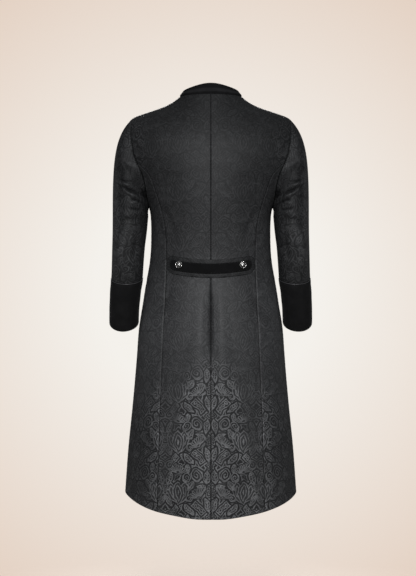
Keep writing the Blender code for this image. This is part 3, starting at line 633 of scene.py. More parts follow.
def sewn_relief(distance, along):
    """Height of the cloth by a seam: its groove, the soft ridge of its allowance, and its pucker."""
    groove = -GROOVE * bell(distance, 0.0, GROOVE_REACH)
    ridge = RIDGE * bell(distance, RIDGE_PLACE, RIDGE_REACH)
    drift = PUCKER_DRIFT * np.sin(along * 2 * np.pi / PUCKER_DRIFT_STEP)
    wave = np.sin(along * 2 * np.pi / PUCKER_STEP + drift)
    calm = 1 - bell(distance, 0.0, PUCKER_CALM)
    return groove + ridge + PUCKER * wave * calm * np.exp(-distance / PUCKER_REACH)


def edge_rounding(distance, wall):
    """How far a free edge's face turns in, at a distance from the edge."""
    turn = 1 - np.clip(distance / (EDGE_REACH * wall), 0, 1)
    return EDGE_SHARE * wall * (1 - np.sqrt(1 - turn**2))


def walls(points, normals, wall, sewn=(), free=(), weights=None):
    """Outer and inner face of a piece with its sewn and free edges, and each point's distance from a seam."""
    weights = weights or {}
    far = distances(points)
    outer = np.zeros(points.shape[:2])
    inner = np.zeros(points.shape[:2])
    near = np.full(points.shape[:2], 1.0)
    for edge in sewn:
        along = far["first_row"] if "column" in edge else far["first_column"]
        weight = weights.get(edge, 1.0)
        outer = outer + sewn_relief(far[edge], along) * weight
        near = np.minimum(near, far[edge] + (1 - weight))
    for edge in free:
        weight = 1 - weights[edge] if edge in weights else 1.0
        turned_in = edge_rounding(far[edge], wall) * weight
        outer = outer - turned_in
        inner = inner + turned_in
    outer = np.maximum(outer, -EDGE_SHARE * wall)
    inner = np.minimum(inner, EDGE_SHARE * wall)
    return points + normals * outer[..., None], points - normals * (wall - inner)[..., None], near


def closed_mesh(name, vertices, faces, sharp_deg=None):
    """A closed mesh with its faces turned outwards, smooth but for edges sharper than an angle."""
    mesh = bpy.data.meshes.new(name)
    mesh.from_pydata(vertices, [], faces)
    bm = bmesh.new()
    bm.from_mesh(mesh)
    bmesh.ops.recalc_face_normals(bm, faces=bm.faces)
    bm.to_mesh(mesh)
    bm.free()
    mesh.shade_smooth()
    if sharp_deg:
        mesh.set_sharp_from_angle(angle=math.radians(sharp_deg))
    return mesh


def thick_mesh(name, faces, places, closed=False, tone=1.0, glint=SEAM_GLINT):
    """A wall of cloth as one closed mesh.

    faces are the outer and inner face and the distance from a seam, places are cloth coordinates in
    metres, tone scales the colour and carries the painted light and shade, and glint is the strength of the
    painted highlight line beside a seam.
    """
    outer, inner, near = faces
    rows, columns = outer.shape[:2]
    top = np.arange(rows * columns).reshape(rows, columns)
    if closed:
        top = np.concatenate([top, top[:, :1]], axis=1)
    under = top + rows * columns
    quads = []
    for grid, order in ((top, 1), (under, -1)):
        corners = (grid[:-1, :-1], grid[:-1, 1:], grid[1:, 1:], grid[1:, :-1])
        quads.append(np.stack(corners[::order], -1).reshape(-1, 4))
    quads.append(np.stack([top[0, 1:], top[0, :-1], under[0, :-1], under[0, 1:]], -1))
    quads.append(np.stack([top[-1, :-1], top[-1, 1:], under[-1, 1:], under[-1, :-1]], -1))
    if not closed:
        quads.append(np.stack([top[:-1, 0], top[1:, 0], under[1:, 0], under[:-1, 0]], -1))
        quads.append(np.stack([top[1:, -1], top[:-1, -1], under[:-1, -1], under[1:, -1]], -1))
    spots = np.concatenate([outer.reshape(-1, 3), inner.reshape(-1, 3)])
    mesh = closed_mesh(name, spots.tolist(), np.concatenate(quads).tolist(), SHARP_DEG)
    flat = np.tile(places.reshape(-1, 2), (2, 1))
    corners = np.zeros(len(mesh.loops), int)
    mesh.loops.foreach_get("vertex_index", corners)
    mesh.uv_layers.new(name="cloth").data.foreach_set("uv", flat[corners].ravel())
    for title, values in (("seam_distance", near), ("tone", tone), ("glint", glint)):
        values = np.broadcast_to(values, near.shape).ravel()
        mesh.attributes.new(title, "FLOAT", "POINT").data.foreach_set("value", np.tile(values, 2))
    return mesh


def in_scene(name, data, location=(0, 0, 0)):
    made = bpy.data.objects.new(name, data)
    made.location = location
    LOOKS.objects.link(made)
    return made


def piece(name, mesh, material, node):
    """Put a piece in the scene in place of its CAD node."""
    mesh.materials.append(material)
    made = in_scene(name, mesh)
    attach(made, "root")
    if node:
        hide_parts(node)
    return made


def cloth_piece(node, material, faces, places, cut, slot="jacquard", suffix="cloth", held="hung", **looks):
    """Put a sewn piece's wall of cloth in the scene, in place of its CAD node."""
    name = f"{node}_{suffix}"
    made = piece(name, thick_mesh(name, faces, places, **looks), material, node)


def body_cloth(z, angles):
    """The body's folded and creased surface, with its normals and the painted light and shade of its creases.
    """
    heights = np.repeat(np.asarray(z, float)[:, None], angles.shape[1], axis=1)
    points = body_point(heights, angles)
    normals = body_normal(heights, angles)
    lift = crease_height(np.degrees(angles), points[..., 2], BODY_CREASES, BODY_METRES_PER_DEG)
    # ridges are painted lighter and troughs darker, as painted light and shade in the creases
    return points + normals * lift[..., None], normals, np.clip(1 + BODY_CREASE_SHADE * lift, *CREASE_SHADE_RANGE)


def waist_row(z):
    return int(np.argmin(np.abs(z - WAIST_Z)))


def cloth_places(points, start, level):
    """Cloth coordinates of a grid, up from the level row and across.

    Across, they count from start at the first column, or from the middle of each row without a start.
    """
    far = distances(points)
    across = far["first_column"]
    if start is None:
        start = -across[:, -1:] / 2
    return np.stack([across + start, far["first_row"] - far["first_row"][level]], axis=-1)


def lap_angle(distance, z, back):
    """Angle of a place this far from the centre line, on the back or the front."""
    return distance / half_ring(z, back)[0]


def back_painted_light(points):
    """Painted light and shade of the back by height, with a painted sheen that is lightest along its middle.
    """
    return painted_light_tones("back", points[..., 2]) * np.interp(np.abs(points[..., 0]), MIDDLE_SIDE, MIDDLE_SHEEN_TONE)


def back_panel(name, cloth, angles, lap, sunk, from_centre=None):
    """Half of the back. lap is its underlap in each row, and sunk how far it lies under the other half."""
    points, normals, crease_shade = body_cloth(ROW_Z, angles)
    places = cloth_places(points, -lap, waist_row(ROW_Z))
    points = trimmed(points, normals, PANEL_SEAMS)
    points = points - normals * sunk[..., None]
    sewn_above = ease((ROW_Z - VENT_FULL) / (VENT_START - VENT_FULL))[:, None]
    outer, inner, near = walls(
        points, normals, CLOTH, PANEL_SEAMS, ("first_row", "first_column"), {"first_column": sewn_above},
    )
    inner[:, 0, 0] -= SEAM_LEAN
    if from_centre is None:
        from_centre = distances(points)["first_column"]
    # the painted seam shadow also runs along the centre line and the vent's free edge
    near = np.minimum(near, np.abs(from_centre) * (VENT_LINE + (1 - VENT_LINE) * sewn_above))
    # tone holds the back's painted light and sheen and the painted light and shade of its creases
    tone = back_painted_light(points) * crease_shade
    cloth_piece(f"back_{name}", cloth, (outer, inner, near), places, "back", tone=tone, glint=BACK_GLINT)


def make_backs(cloth):
    outer_edge = OUTER_BACK[:, None]
    angles = outer_edge * shares(BACK_COLUMNS, BACK_WIDTH)
    back_panel("left", cloth, angles, 0.0, np.zeros(angles.shape))

    lap = (UNDERLAP * ease((VENT_OPEN - ROW_Z) / (VENT_OPEN - VENT_FULL)))[:, None]
    closed = (LAP_EDGE + LAP_STEP) * VENT_SHARES
    opened = -UNDERLAP + (UNDERLAP + LAP_EDGE + LAP_STEP) * VENT_SHARES
    opening = lap / UNDERLAP
    from_centre = closed * (1 - opening) + opened * opening
    first = from_centre[:, :1]
    from_centre = np.concatenate([first, first + VENT_EDGE, from_centre[:, 1:]], axis=1)
    near_angles = lap_angle(from_centre, ROW_Z[:, None], True)
    edge_share = shares(VENT_COLUMNS, VENT_WIDTH)[len(EDGE_OFFSETS):]
    rest = near_angles[:, -1:] + (outer_edge - near_angles[:, -1:]) * edge_share
    angles = -np.concatenate([near_angles, rest], axis=1)
    distance = np.concatenate([from_centre, np.full(rest.shape, 1.0)], axis=1)
    under = ease((VENT_START - ROW_Z) / (VENT_START - VENT_OPEN))[:, None]
    under = under * (1 - ease((distance - LAP_EDGE) / LAP_STEP))
    back_panel("right", cloth, angles, lap, (CLOTH + LAYER_GAP) * under, distance)


def make_side_backs(cloth):
    inner_edge, outer_edge = OUTER_BACK[:PRINCESS_ROW, None], ROW_BACK[:PRINCESS_ROW, None]
    share = shares(SIDE_BACK_COLUMNS, SIDE_BACK_WIDTH)
    heights = ROW_Z[[*range(PRINCESS_ROW), PRINCESS_ROW - 1]]
    for name, side in SIDES:
        angles = side * (inner_edge + (outer_edge - inner_edge) * share)
        angles = np.concatenate([angles, angles[-1:]])
        points, normals, crease_shade = body_cloth(heights, angles)
        tip = body_point(ROW_Z[PRINCESS_ROW], side * ROW_BACK[PRINCESS_ROW])
        points[-1] = points[-1] + (1 - PRINCESS_TIP) * (tip - points[-1])
        places = cloth_places(points, None, waist_row(heights))
        points = trimmed(points, normals, PANEL_SEAMS)
        faces = walls(points, normals, CLOTH, PANEL_SEAMS, ("first_row",))
        # painted light by height, lighter towards the outer edge, times the painted light and shade of the
        # creases
        tone = painted_light_tones("side_back", points[..., 2]) * (SIDE_BACK_TONE + SIDE_BACK_RIM_LIGHT * share) * crease_shade
        glint = np.interp(points[..., 2], GLINT_Z, GLINT)
        cloth_piece(f"side_back_{name}", cloth, faces, places, "side_back", tone=tone, glint=glint)


def make_fronts(cloth):
    start = math.pi + lap_angle(FRONT_OVERLAP, ROW_Z, False)
    angles = start[:, None] + (ROW_FRONT - start)[:, None] * shares(FRONT_COLUMNS, FRONT_WIDTH)
    for name, side in SIDES:
        points, normals, crease_shade = body_cloth(ROW_Z, side * angles)
        places = cloth_places(points, -FRONT_OVERLAP, waist_row(ROW_Z))
        points = trimmed(points, normals, PANEL_SEAMS[1:])
        if name == "right":
            distance = distances(points)["first_column"] - 2 * FRONT_OVERLAP - LAP_EDGE
            under = 1 - ease(distance / LAP_STEP)
            points = points - normals * ((CLOTH + LAYER_GAP) * under)[..., None]
        faces = walls(points, normals, CLOTH, PANEL_SEAMS[1:], ("first_row", "first_column"))
        # the fronts' tone is the painted light and shade of their creases
        cloth_piece(f"front_{name}", cloth, faces, places, "front", tone=crease_shade)


def arm_point(z, turn, grown=0.0):
    """Point of the left arm's outer surface at a ring's height and an angle round it in radians."""
    tilt = np.radians(arm("tilt_deg", z))
    out = (arm("half_width", z) + grown) * np.cos(turn)
    back = (arm("half_depth", z) + grown) * np.sin(turn)
    x = arm("x", z) + out
    y = arm("y", z) + back * np.cos(tilt)
    return np.stack([x, y, z - back * np.sin(tilt)], axis=-1)


def sleeve_fold(z, turn):
    total = np.zeros(np.broadcast(z, turn).shape)
    for fold in named(SLEEVE_FOLD_COLUMNS, SLEEVE_FOLDS):
        away = turned(np.degrees(turn) - fold["round_deg"])
        line = fold["z"] + fold["lean"] * away / fold["half_round_deg"]
        across = ease(1 - np.abs(z - line) / (FOLD_SPREAD * fold["half_height"]))
        round_it = ease(1 - np.abs(away) / (SLEEVE_FOLD_SPREAD * fold["half_round_deg"]))
        total = total + fold["depth"] * across * round_it
    return total


def sleeve_base(down, turn):
    """Point of the left sleeve. down is 0 to 1 from the armhole to the arm's top ring, then on by height."""
    down, turn = np.broadcast_arrays(np.asarray(down, float), np.asarray(turn, float))
    z, angle = armhole(np.degrees(turn))
    start = body_point(z, angle, False)
    end = arm_point(np.full(turn.shape, ARM_TOP), turn)
    span = np.linalg.norm(end - start, axis=-1, keepdims=True)
    degrees = np.degrees(turn) % 360
    leave = np.stack([cap_direction(column, degrees) for column in CAP_COLUMNS[1:]], axis=-1)
    leave = unit(leave) * span * CAP_LEAVING
    arrive = np.array([0.0, 0.0, -CAP_MEETING]) * span
    t = np.clip(down, 0, 1)[..., None]
    rise = t * t * (3 - 2 * t)
    cap = start * (1 - rise) + end * rise + leave * t * (1 - t) ** 2 + arrive * t * t * (t - 1)
    below = arm_point(ARM_TOP - np.maximum(down - 1, 0), turn)
    return np.where(down[..., None] <= 1, cap, below)


def sleeve_point(down, turn):
    base = sleeve_base(down, turn)
    start_share = ease(np.asarray(down) / SLEEVE_CALM_TOP)
    push = sleeve_fold(base[..., 2], turn)
    push = push + crease_height(np.degrees(turn), base[..., 2], SLEEVE_CREASES, SLEEVE_METRES_PER_DEG)
    end_share = ease((ARM_TOP - CUFF_TOP - np.asarray(down) + 1) / SLEEVE_CALM_END)
    push = push * start_share * end_share
    return base + normal_of(sleeve_base, down, turn, SLEEVE_STEPS) * push[..., None]


def mirrored(points, side):
    return points * np.array([side, 1.0, 1.0])


def both_sides(kind, material, faces, places, **looks):
    """The left piece, and its mirror image as the right one."""
    outer, inner, near = faces
    for name, side in SIDES:
        pair = (mirrored(outer, side), mirrored(inner, side), near)
        cloth_piece(f"{kind}_{name}", material, pair, places, kind, **looks)


def make_sleeves(cloth):
    end = 1 + ARM_TOP - CUFF_TOP - PIPING_RADIUS - SEAM
    cap = np.linspace(0, 1, CAP_STEPS)[1:]
    below = np.linspace(1, end, round((end - 1) / ARM_STEP))[1:-1]
    downs = np.concatenate([CAP_EDGE, cap, below, [end - ARM_EDGE, end]])
    for kind, first_deg, last_deg, hind_edge in (
        ("upper_sleeve", FORE_SEAM - 360, HIND_SEAM, "last_column"),
        ("under_sleeve", HIND_SEAM, FORE_SEAM, "first_column"),
    ):
        even = np.arange(first_deg, last_deg + 1, ARMHOLE_STEP_DEG)[1:-1]
        begin, finish = first_deg + SLEEVE_EDGE_DEG, last_deg - SLEEVE_EDGE_DEG[::-1]
        degrees = np.concatenate([[first_deg], begin, even, finish, [last_deg]])
        down, turn = np.meshgrid(downs, np.radians(degrees), indexing="ij")
        points = sleeve_point(down, turn)
        normals = normal_of(sleeve_point, down, turn, SLEEVE_STEPS)
        places = cloth_places(points, None, -1)
        points = trimmed(points, normals, ("first_row", "first_column", "last_column"))
        outer, inner, near = walls(
            points, normals, CLOTH, ("first_row", "last_row", "first_column", "last_column"),
            weights={hind_edge: HIND_SEAM_WEIGHT},
        )
        inner[0] = points[0] - body_normal(*armhole(degrees)) * CLOTH
        # tone: painted light and shade by height, painted rim light on the outward-facing side, and painted
        # light and shade on the creases' ridges and troughs
        lift = crease_height(np.degrees(turn), points[..., 2], SLEEVE_CREASES, SLEEVE_METRES_PER_DEG)
        painted_rim = ease((normals[..., 0] - SIDE_FACING[0]) / (SIDE_FACING[1] - SIDE_FACING[0]))
        tone = painted_light_tones("sleeve", points[..., 2]) * (1 - painted_rim) + painted_light_tones("sleeve_side", points[..., 2]) * painted_rim
        tone = tone * np.clip(1 + SLEEVE_CREASE_SHADE * lift, *CREASE_SHADE_RANGE)
        both_sides(kind, cloth, (outer, inner, near), places, tone=tone)


def cuff_wave(z, turn):
    """Slight unevenness of the velvet round the cuff."""
    return CUFF_WAVE * sum(
        share * np.sin(times * turn + slant * z / CUFF_WAVE_LENGTH + start)
        for share, times, slant, start in CUFF_WAVES
    )


def make_cuffs(velvet):
    start = CUFF_TOP - PIPING_RADIUS - SEAM
    middle = np.linspace(start - CUFF_EDGE_ZONE, CUFF_END + CUFF_EDGE_ZONE, CUFF_ROWS)
    heights = np.concatenate([start - CUFF_EDGE, middle, CUFF_END + CUFF_EDGE[::-1]])
    z, turn = np.meshgrid(heights, np.radians(np.arange(0, 360, CUFF_STEP_DEG)), indexing="ij")
    grown = CUFF_PROUD_START + (1 - CUFF_PROUD_START) * ease((start - z) / CUFF_PROUD_REACH)
    proud = CUFF_PROUD * grown + cuff_wave(z, turn) * ease((start - z) / CUFF_CALM)
    points = arm_point(z, turn, proud)
    normals = normal_of(lambda z, turn: arm_point(z, turn, proud), z, turn, CUFF_STEPS)
    faces = walls(points, normals, VELVET, ("first_row",), ("last_row",))
    places = cloth_places(points, 0.0, 0)
    both_sides("cuff", velvet, faces, places, slot="velvet", suffix="velvet", closed=True, tone=CUFF_TONE)


def make_piping(satin):
    turns = np.radians(np.arange(0, 360, PIPING_STEP_DEG))
    route = arm_point(np.full(turns.shape, CUFF_TOP), turns, PIPING_OUT)
    for name, side in SIDES:
        curve = bpy.data.curves.new(f"cuff_piping_{name}_satin", "CURVE")
        curve.dimensions = "3D"
        curve.bevel_depth = PIPING_RADIUS
        curve.bevel_resolution = 3
        spline = curve.splines.new("POLY")
        spline.points.add(len(route) - 1)
        for point, spot in zip(spline.points, mirrored(route, side)):
            point.co = (*spot, 1)
        spline.use_cyclic_u = True
        spline.use_smooth = True
        piece(f"cuff_piping_{name}_satin", curve, satin, f"cuff_piping_{name}")


def make_collar(velvet):
    half = math.pi - lap_angle(COLLAR_FRONT_GAP / 2, 0.0, False)
    angle = np.linspace(-half, half, COLLAR_COLUMNS)
    angle = np.concatenate([-half + COLLAR_ENDS, angle[1:-1], half - COLLAR_ENDS[::-1]])
    foot = body_point(np.zeros(angle.shape), angle)
    ahead = np.cos(angle)
    end = np.where(ahead > 0, COLLAR_HEIGHT_BACK, COLLAR_HEIGHT_FRONT)
    height = COLLAR_HEIGHT_SIDE + (end - COLLAR_HEIGHT_SIDE) * ahead**2
    outward = unit(foot * np.array([1.0, 1.0, 0.0]) - np.array([0.0, COLLAR_CENTRE_Y, 0.0]))
    up = np.array([0.0, 0.0, 1.0])
    wall = outward * math.cos(COLLAR_TIP) + up * math.sin(COLLAR_TIP)
    share = np.concatenate([np.linspace(0, COLLAR_ROWS_END, COLLAR_ROWS), COLLAR_TOP_ROWS])[:, None]
    rise = SEAM + (height - SEAM) * share
    wave = COLLAR_WAVE * np.sin(COLLAR_WAVES * angle + COLLAR_WAVE_START) * share * (1 - share) * 4
    roll = COLLAR_ROLL * bell(share, COLLAR_ROLL_PLACE, COLLAR_ROLL_REACH)
    out = roll + wave - COLLAR_LEAN * share**COLLAR_LEAN_POWER - SEAM
    points = foot + outward * out[..., None] + up * rise[..., None]
    normals = np.broadcast_to(wall, points.shape)
    faces = walls(
        points, normals, COLLAR_CLOTH, ("first_row",), ("last_row", "first_column", "last_column"),
    )
    # painted highlight: a lighter band across the collar where its roll would catch the light
    first, last = COLLAR_HIGHLIGHT_BAND
    band = ease((share - first) / COLLAR_HIGHLIGHT_SOFT) * ease((last - share) / COLLAR_HIGHLIGHT_SOFT)
    tone = COLLAR_TONE + COLLAR_HIGHLIGHT_TONE * band
    places = cloth_places(points, 0.0, 0)
    cloth_piece("collar", velvet, faces, places, "collar", slot="velvet", suffix="velvet", tone=tone)


def belt_rise(x):
    return BELT_END_RISE * (x / BELT_HALF_LENGTH) ** 2


def belt_point(x, up, lift):
    """Point of the half-belt at x across the back and up from its middle line, lifted off the cloth."""
    z = BELT_MIDDLE_Z + belt_rise(x) + up
    angle = angle_at_x(z, x)
    return body_point(z, angle, False) + body_normal(z, angle, False) * np.asarray(lift)[..., None]


def belt_size(wider):
    """Half length, half height and depth of the rounded ends of a strip this much wider than the belt."""
    half_height = BELT_HALF_HEIGHT + wider
    return BELT_HALF_LENGTH + wider, half_height, half_height * BELT_END_SHARE


def belt_layer(node, suffix, slot, material, wider, wall, lift, tone):
    half_length, half_height, round_end = belt_size(wider)
    straight = half_length - round_end
    ends = straight + round_end * np.sin(np.radians(BELT_END_DEG))
    x = np.concatenate([-ends, np.linspace(-ends[-1], ends[-1], BELT_COLUMNS)[1:-1], ends[::-1]])
    past = np.clip((np.abs(x) - straight) / round_end, 0, 1)
    reach = half_height * np.sqrt(1 - past**2)
    half = np.sin(np.radians(BELT_ROW_DEG))
    up = reach[None, :] * np.concatenate([-half, [0.0], half[::-1]])[:, None]
    x = np.broadcast_to(x, up.shape)
    past = np.maximum(np.abs(x) - straight, 0) / round_end
    inset = half_height * (1 - np.hypot(past, up / half_height))
    soft = 1 - np.clip(inset / (BELT_EDGE_REACH * wall), 0, 1)
    swell = BELT_SWELL * np.sin(x * 2 * np.pi / BELT_SWELL_LENGTH + BELT_SWELL_START)
    swell = swell * ease(inset / BELT_SWELL_EDGE)
    height = wall * (1 - BELT_EDGE_SHARE * (1 - np.sqrt(1 - soft**2))) + swell
    stitched = -STITCH_DENT * bell(inset, STITCH_INSET, STITCH_DENT_REACH)
    outer = belt_point(x, up, lift + height + stitched)
    inner = belt_point(x, up, np.full(up.shape, lift))
    faces = (outer, inner, np.full(up.shape, 1.0))
    places = np.stack([x, up], axis=-1)
    cloth_piece(node, material, faces, places, node, slot, suffix, held="stretched", tone=tone)


def belt_outline(wider, lift):
    """Points and normals of the stitching round one layer of the belt, closely spaced."""
    half_length, half_height, round_end = belt_size(wider - STITCH_INSET)
    straight = half_length - round_end
    turns = np.radians(np.linspace(90, -90, STITCH_END_STEPS))
    line = np.linspace(-straight, straight, STITCH_LINE_STEPS)
    x = np.concatenate([line, straight + round_end * np.cos(turns)])
    up = np.concatenate([np.full(line.shape, half_height), half_height * np.sin(turns)])
    x, up = np.concatenate([x, -x]), np.concatenate([up, -up])
    on = belt_point(x, up, np.full(x.shape, lift))
    above = belt_point(x, up, np.full(x.shape, lift + LIFT_STEP))
    return on, unit(above - on)


def stitch_mesh(name, runs, stitch=STITCH_LENGTH, gap=STITCH_GAP):
    """Stitches along lines of points with normals, each a small spindle of thread, in one mesh."""
    vertices, faces = [], []
    for points, normals in runs:
        steps = np.linalg.norm(np.diff(points, axis=0), axis=-1)
        length = np.concatenate([[0], np.cumsum(steps)])
        for start in np.arange(0, length[-1] - stitch, stitch + gap):
            begin, middle, end = (
                np.array([np.interp(start + share * stitch, length, points[:, k]) for k in range(3)])
                for share in (0.0, 0.5, 1.0)
            )
            normal = normals[int(np.searchsorted(length, start + stitch / 2)) % len(normals)]
            sideways = unit(np.cross(end - begin, normal))
            first = len(vertices)
            vertices.append(begin - normal * STITCH_SINK)
            for side in range(STITCH_SIDES):
                turn = side * 2 * math.pi / STITCH_SIDES
                out = normal * math.cos(turn) + sideways * math.sin(turn)
                vertices.append(middle + out * STITCH_RADIUS)
            last = len(vertices)
            vertices.append(end - normal * STITCH_SINK)
            for side in range(STITCH_SIDES):
                here, after = first + 1 + side, first + 1 + (side + 1) % STITCH_SIDES
                faces += [(first, after, here), (here, after, last)]
    return closed_mesh(name, [tuple(vertex) for vertex in vertices], faces)


def make_half_belt(cloth, velvet, thread):
    base_top = LAYER_GAP + CLOTH
    velvet_top = base_top + LAYER_GAP + VELVET
    belt_layer(
        "half_belt_base", "cloth", "jacquard", cloth, BELT_FRAME, CLOTH, LAYER_GAP, BELT_FRAME_TONE,
    )
    belt_layer(
        "half_belt_velvet", "strip", "velvet", velvet, 0.0, VELVET, base_top + LAYER_GAP, BELT_TONE,
    )
    runs = [
        belt_outline(BELT_FRAME, base_top - FRAME_STITCH_LOW),
        belt_outline(0.0, velvet_top - STRIP_STITCH_LOW),
    ]
    piece("half_belt_stitches", stitch_mesh("half_belt_stitches", runs), thread, None)
    return velvet_top


def button_relief(share, turn):
    """Relief on a button's dome: a rosette round a boss, and a beaded rim."""
    rosette, boss, dip, beads = (
        height * bell(share, place, reach) for height, place, reach in (ROSETTE, BOSS, BOSS_DIP, BEADS)
    )
    petal = np.abs(np.cos(ROSETTE_PETALS / 2 * turn))
    return rosette * (petal - ROSETTE_VALLEY) + (boss + dip) + beads * np.cos(BEAD_COUNT * turn)


def button_mesh(name):
    dome = np.array(BUTTON_DOME)
    turns = np.arange(BUTTON_SIDES) * 2 * math.pi / BUTTON_SIDES
    rings = [(s, np.interp(s, dome[:, 0], dome[:, 1]) + button_relief(s, turns)) for s in BUTTON_SHARES]
    rings += [(s, np.full(BUTTON_SIDES, height)) for s, height in BUTTON_UNDER]
    vertices = []
    for s, heights in rings:
        reach = s * BUTTON_RADIUS
        vertices += [(reach * math.cos(t), reach * math.sin(t), z) for t, z in zip(turns, heights)]
    last = len(vertices) - BUTTON_SIDES
    top, bottom = len(vertices), len(vertices) + 1
    vertices += [(0, 0, dome[0, 1] + float(button_relief(0.0, 0.0))), (0, 0, 0)]
    around = [(i, (i + 1) % BUTTON_SIDES) for i in range(BUTTON_SIDES)]
    faces = []
    for row in range(0, last, BUTTON_SIDES):
        below = row + BUTTON_SIDES
        faces += [(row + i, row + j, below + j, below + i) for i, j in around]
    for i, j in around:
        faces += [(top, j, i), (bottom, last + i, last + j)]
    return closed_mesh(name, vertices, faces, BUTTON_SHARP_DEG)


def buttonhole_run(z):
    """Close stitches up one side of a buttonhole and down the other, from the button's middle outwards."""
    out = np.linspace(HOLE_START, HOLE_LENGTH, HOLE_STEPS)
    across = np.concatenate([out, out[::-1]])
    up = np.repeat([HOLE_HALF, -HOLE_HALF], HOLE_STEPS)
    angle = math.pi - lap_angle(across, z, False)
    normals = body_normal(z + up, angle)
    return body_point(z + up, angle) + normals * HOLE_LIFT, normals


def make_button(node, on_cloth, facing, metal):
    made = piece(f"{node}_relief", button_mesh(f"{node}_relief"), metal, node)
    made.location = on_cloth + facing * LAYER_GAP
    made.rotation_mode = "QUATERNION"
    made.rotation_quaternion = facing.to_track_quat("Z", "Y")


def make_buttons(belt_top, metal, thread):
    for name, side in SIDES:
        x = side * BELT_BUTTON_X
        up = BELT_BUTTON_Z - BELT_MIDDLE_Z - belt_rise(x)
        on_belt = belt_point(np.array(x), np.array(up), belt_top)
        above = belt_point(np.array(x), np.array(up), belt_top + 1.0)
        make_button(f"belt_button_{name}", Vector(on_belt), Vector(above - on_belt).normalized(), metal)
    heights = np.linspace(ARMHOLE_TOP, FRONT_LOW_Z, FRONT_STEPS)
    holes = []
    for number, wanted in enumerate(FRONT_BUTTON_Z, start=1):
        z = heights[np.argmin(np.abs(ring("z_front", heights) - wanted))]
        on_front, facing = Vector(body_point(z, math.pi)), Vector(body_normal(z, math.pi))
        make_button(f"front_button_{number}", on_front, facing, metal)
        holes.append(buttonhole_run(z))
    stitches = stitch_mesh("buttonhole_stitches", holes, HOLE_STITCH, HOLE_STITCH_GAP)
    piece("buttonhole_stitches", stitches, thread, None)


class Field:
    """A number over a surface, as a node's output. Arithmetic on fields makes more nodes."""

    def __init__(self, socket):
        self.socket = socket
        self.tree = socket.id_data

    def __add__(self, other):
        return calculate("ADD", self, other)

    def __sub__(self, other):
        return calculate("SUBTRACT", self, other)

    def __rsub__(self, other):
        return calculate("SUBTRACT", other, self)

    def __mul__(self, other):
        return calculate("MULTIPLY", self, other)

    def __truediv__(self, other):
        return calculate("DIVIDE", self, other)

    def __abs__(self):
        return calculate("ABSOLUTE", self)

    def __neg__(self):
        return calculate("MULTIPLY", self, -1.0)


def connect(socket, value):
    if isinstance(value, Field):
        value.tree.links.new(value.socket, socket)
    else:
        socket.default_value = value


def added(tree, kind, inputs=(), output=0, **settings):
    """A new node's output as a field. inputs are values or fields by the socket's name or number."""
    node = tree.nodes.new(f"ShaderNode{kind}")
    for name, value in settings.items():
        setattr(node, name, value)
    for socket, value in dict(inputs).items():
        connect(node.inputs[socket], value)
    return Field(node.outputs[output])


def calculate(operation, *values):
    tree = next(value for value in values if isinstance(value, Field)).tree
    return added(tree, "Math", enumerate(values), operation=operation)


def in_turn(operation, values):
    found = values[0]
    for value in values[1:]:
        found = calculate(operation, found, value)
    return found


def least(*values):
    return in_turn("MINIMUM", values)


def most(*values):
    return in_turn("MAXIMUM", values)


def wrapped(value, width):
    """The value's distance from the nearest multiple of the width."""
    return abs(calculate("WRAP", value, width / 2, -width / 2))


def joined(x, y):
    return added(x.tree, "CombineXYZ", {0: x, 1: y})


def parted(vector):
    """The vector's x, y and z."""
    node = added(vector.tree, "SeparateXYZ", {0: vector}).socket.node
    return [Field(output) for output in node.outputs]


def reach_of(x, y):
    """Length of the vector from two fields."""
    return added(x.tree, "VectorMath", {0: joined(x, y)}, "Value", operation="LENGTH")


def graded(value, low, high, to_low, to_high):
    """A smooth step of the value from to_low at low to to_high at high."""
    numbers = enumerate((value, low, high, to_low, to_high))
    return added(value.tree, "MapRange", numbers, interpolation_type="SMOOTHSTEP")


# The damask's repeat in millimetres. It is mirrored at both sides of its width and repeats upwards.
REPEAT_WIDTH = 126.0
REPEAT_HEIGHT = 136.0
LINE = 1.15  # half width of a woven line, and how soft its edge is
LINE_SOFT = 0.6
INSET = 1.0  # how far inside its outline a motif's own lines end
SWAY = 1.8
SWAY_ACROSS = 0.05  # radians of sway and lift in a millimetre across
LIFT_ACROSS = 0.11
ECHO = 6.8  # step of the lines that echo the motifs' outlines over the ground
UNEVEN = 13.0  # how far a noise moves the lines about, and its steps in each millimetre
UNEVEN_SCALE = 0.055
LEAF_COLUMNS = ("across", "up", "turn_deg", "length", "width")
LEAVES = (
    (9, 20, 80, 36, 13), (11, 94, 101, 38, 14), (60, 8, 52, 36, 14), (56, 70, 130, 34, 12),
    (117, 30, 66, 32, 12), (116, 88, 112, 34, 13), (28, 68, 20, 26, 11), (64, 116, 84, 26, 11),
)
VEIN_STEP = 6.6
VEIN_SLANT = 0.9
TULIP = ((90, 52, 90, 64, 28), (76, 52, 108, 58, 26), (104, 52, 72, 58, 26))  # middle petal first
PETAL_STEP = 6.8
SCALLOP = 1.3
RAY_START = 0.3  # share of a fan's size at which its rays begin
FLOWER_STEP = 6.6
FAN_COLUMNS = ("across", "up", "turn_deg", "size", "half_deg", "ray_deg")
FANS = ((31, 38, 64, 27, 60, 13.5), (92, 106, 90, 21, 84, 17.0))
CURL_COLUMNS = ("across", "up", "turn_deg", "size", "pitch")
CURLS = (
    (37, 101, 30, 15.0, 7.4), (66, 92, 200, 12.0, 6.8), (112, 124, 120, 12.0, 6.8), (58, 40, 300, 9.5, 6.4),
)
BAND_COLUMNS = ("across", "up", "turn_deg", "half_length", "half_width", "bead_step", "bead_radius")
BANDS = ((34, 12, 46, 17, 7.6, 9.4, 3.0), (100, 4, 128, 13, 6.6, 8.6, 2.7))
FLOWER_COLUMNS = ("across", "up", "turn_deg", "radius", "lobes", "lobe_depth")
FLOWERS = ((0, 58, 0, 12.5, 6, 2.6), (126, 60, 30, 11.5, 5, 2.4), (0, 126, 0, 9.0, 5, 2.2))


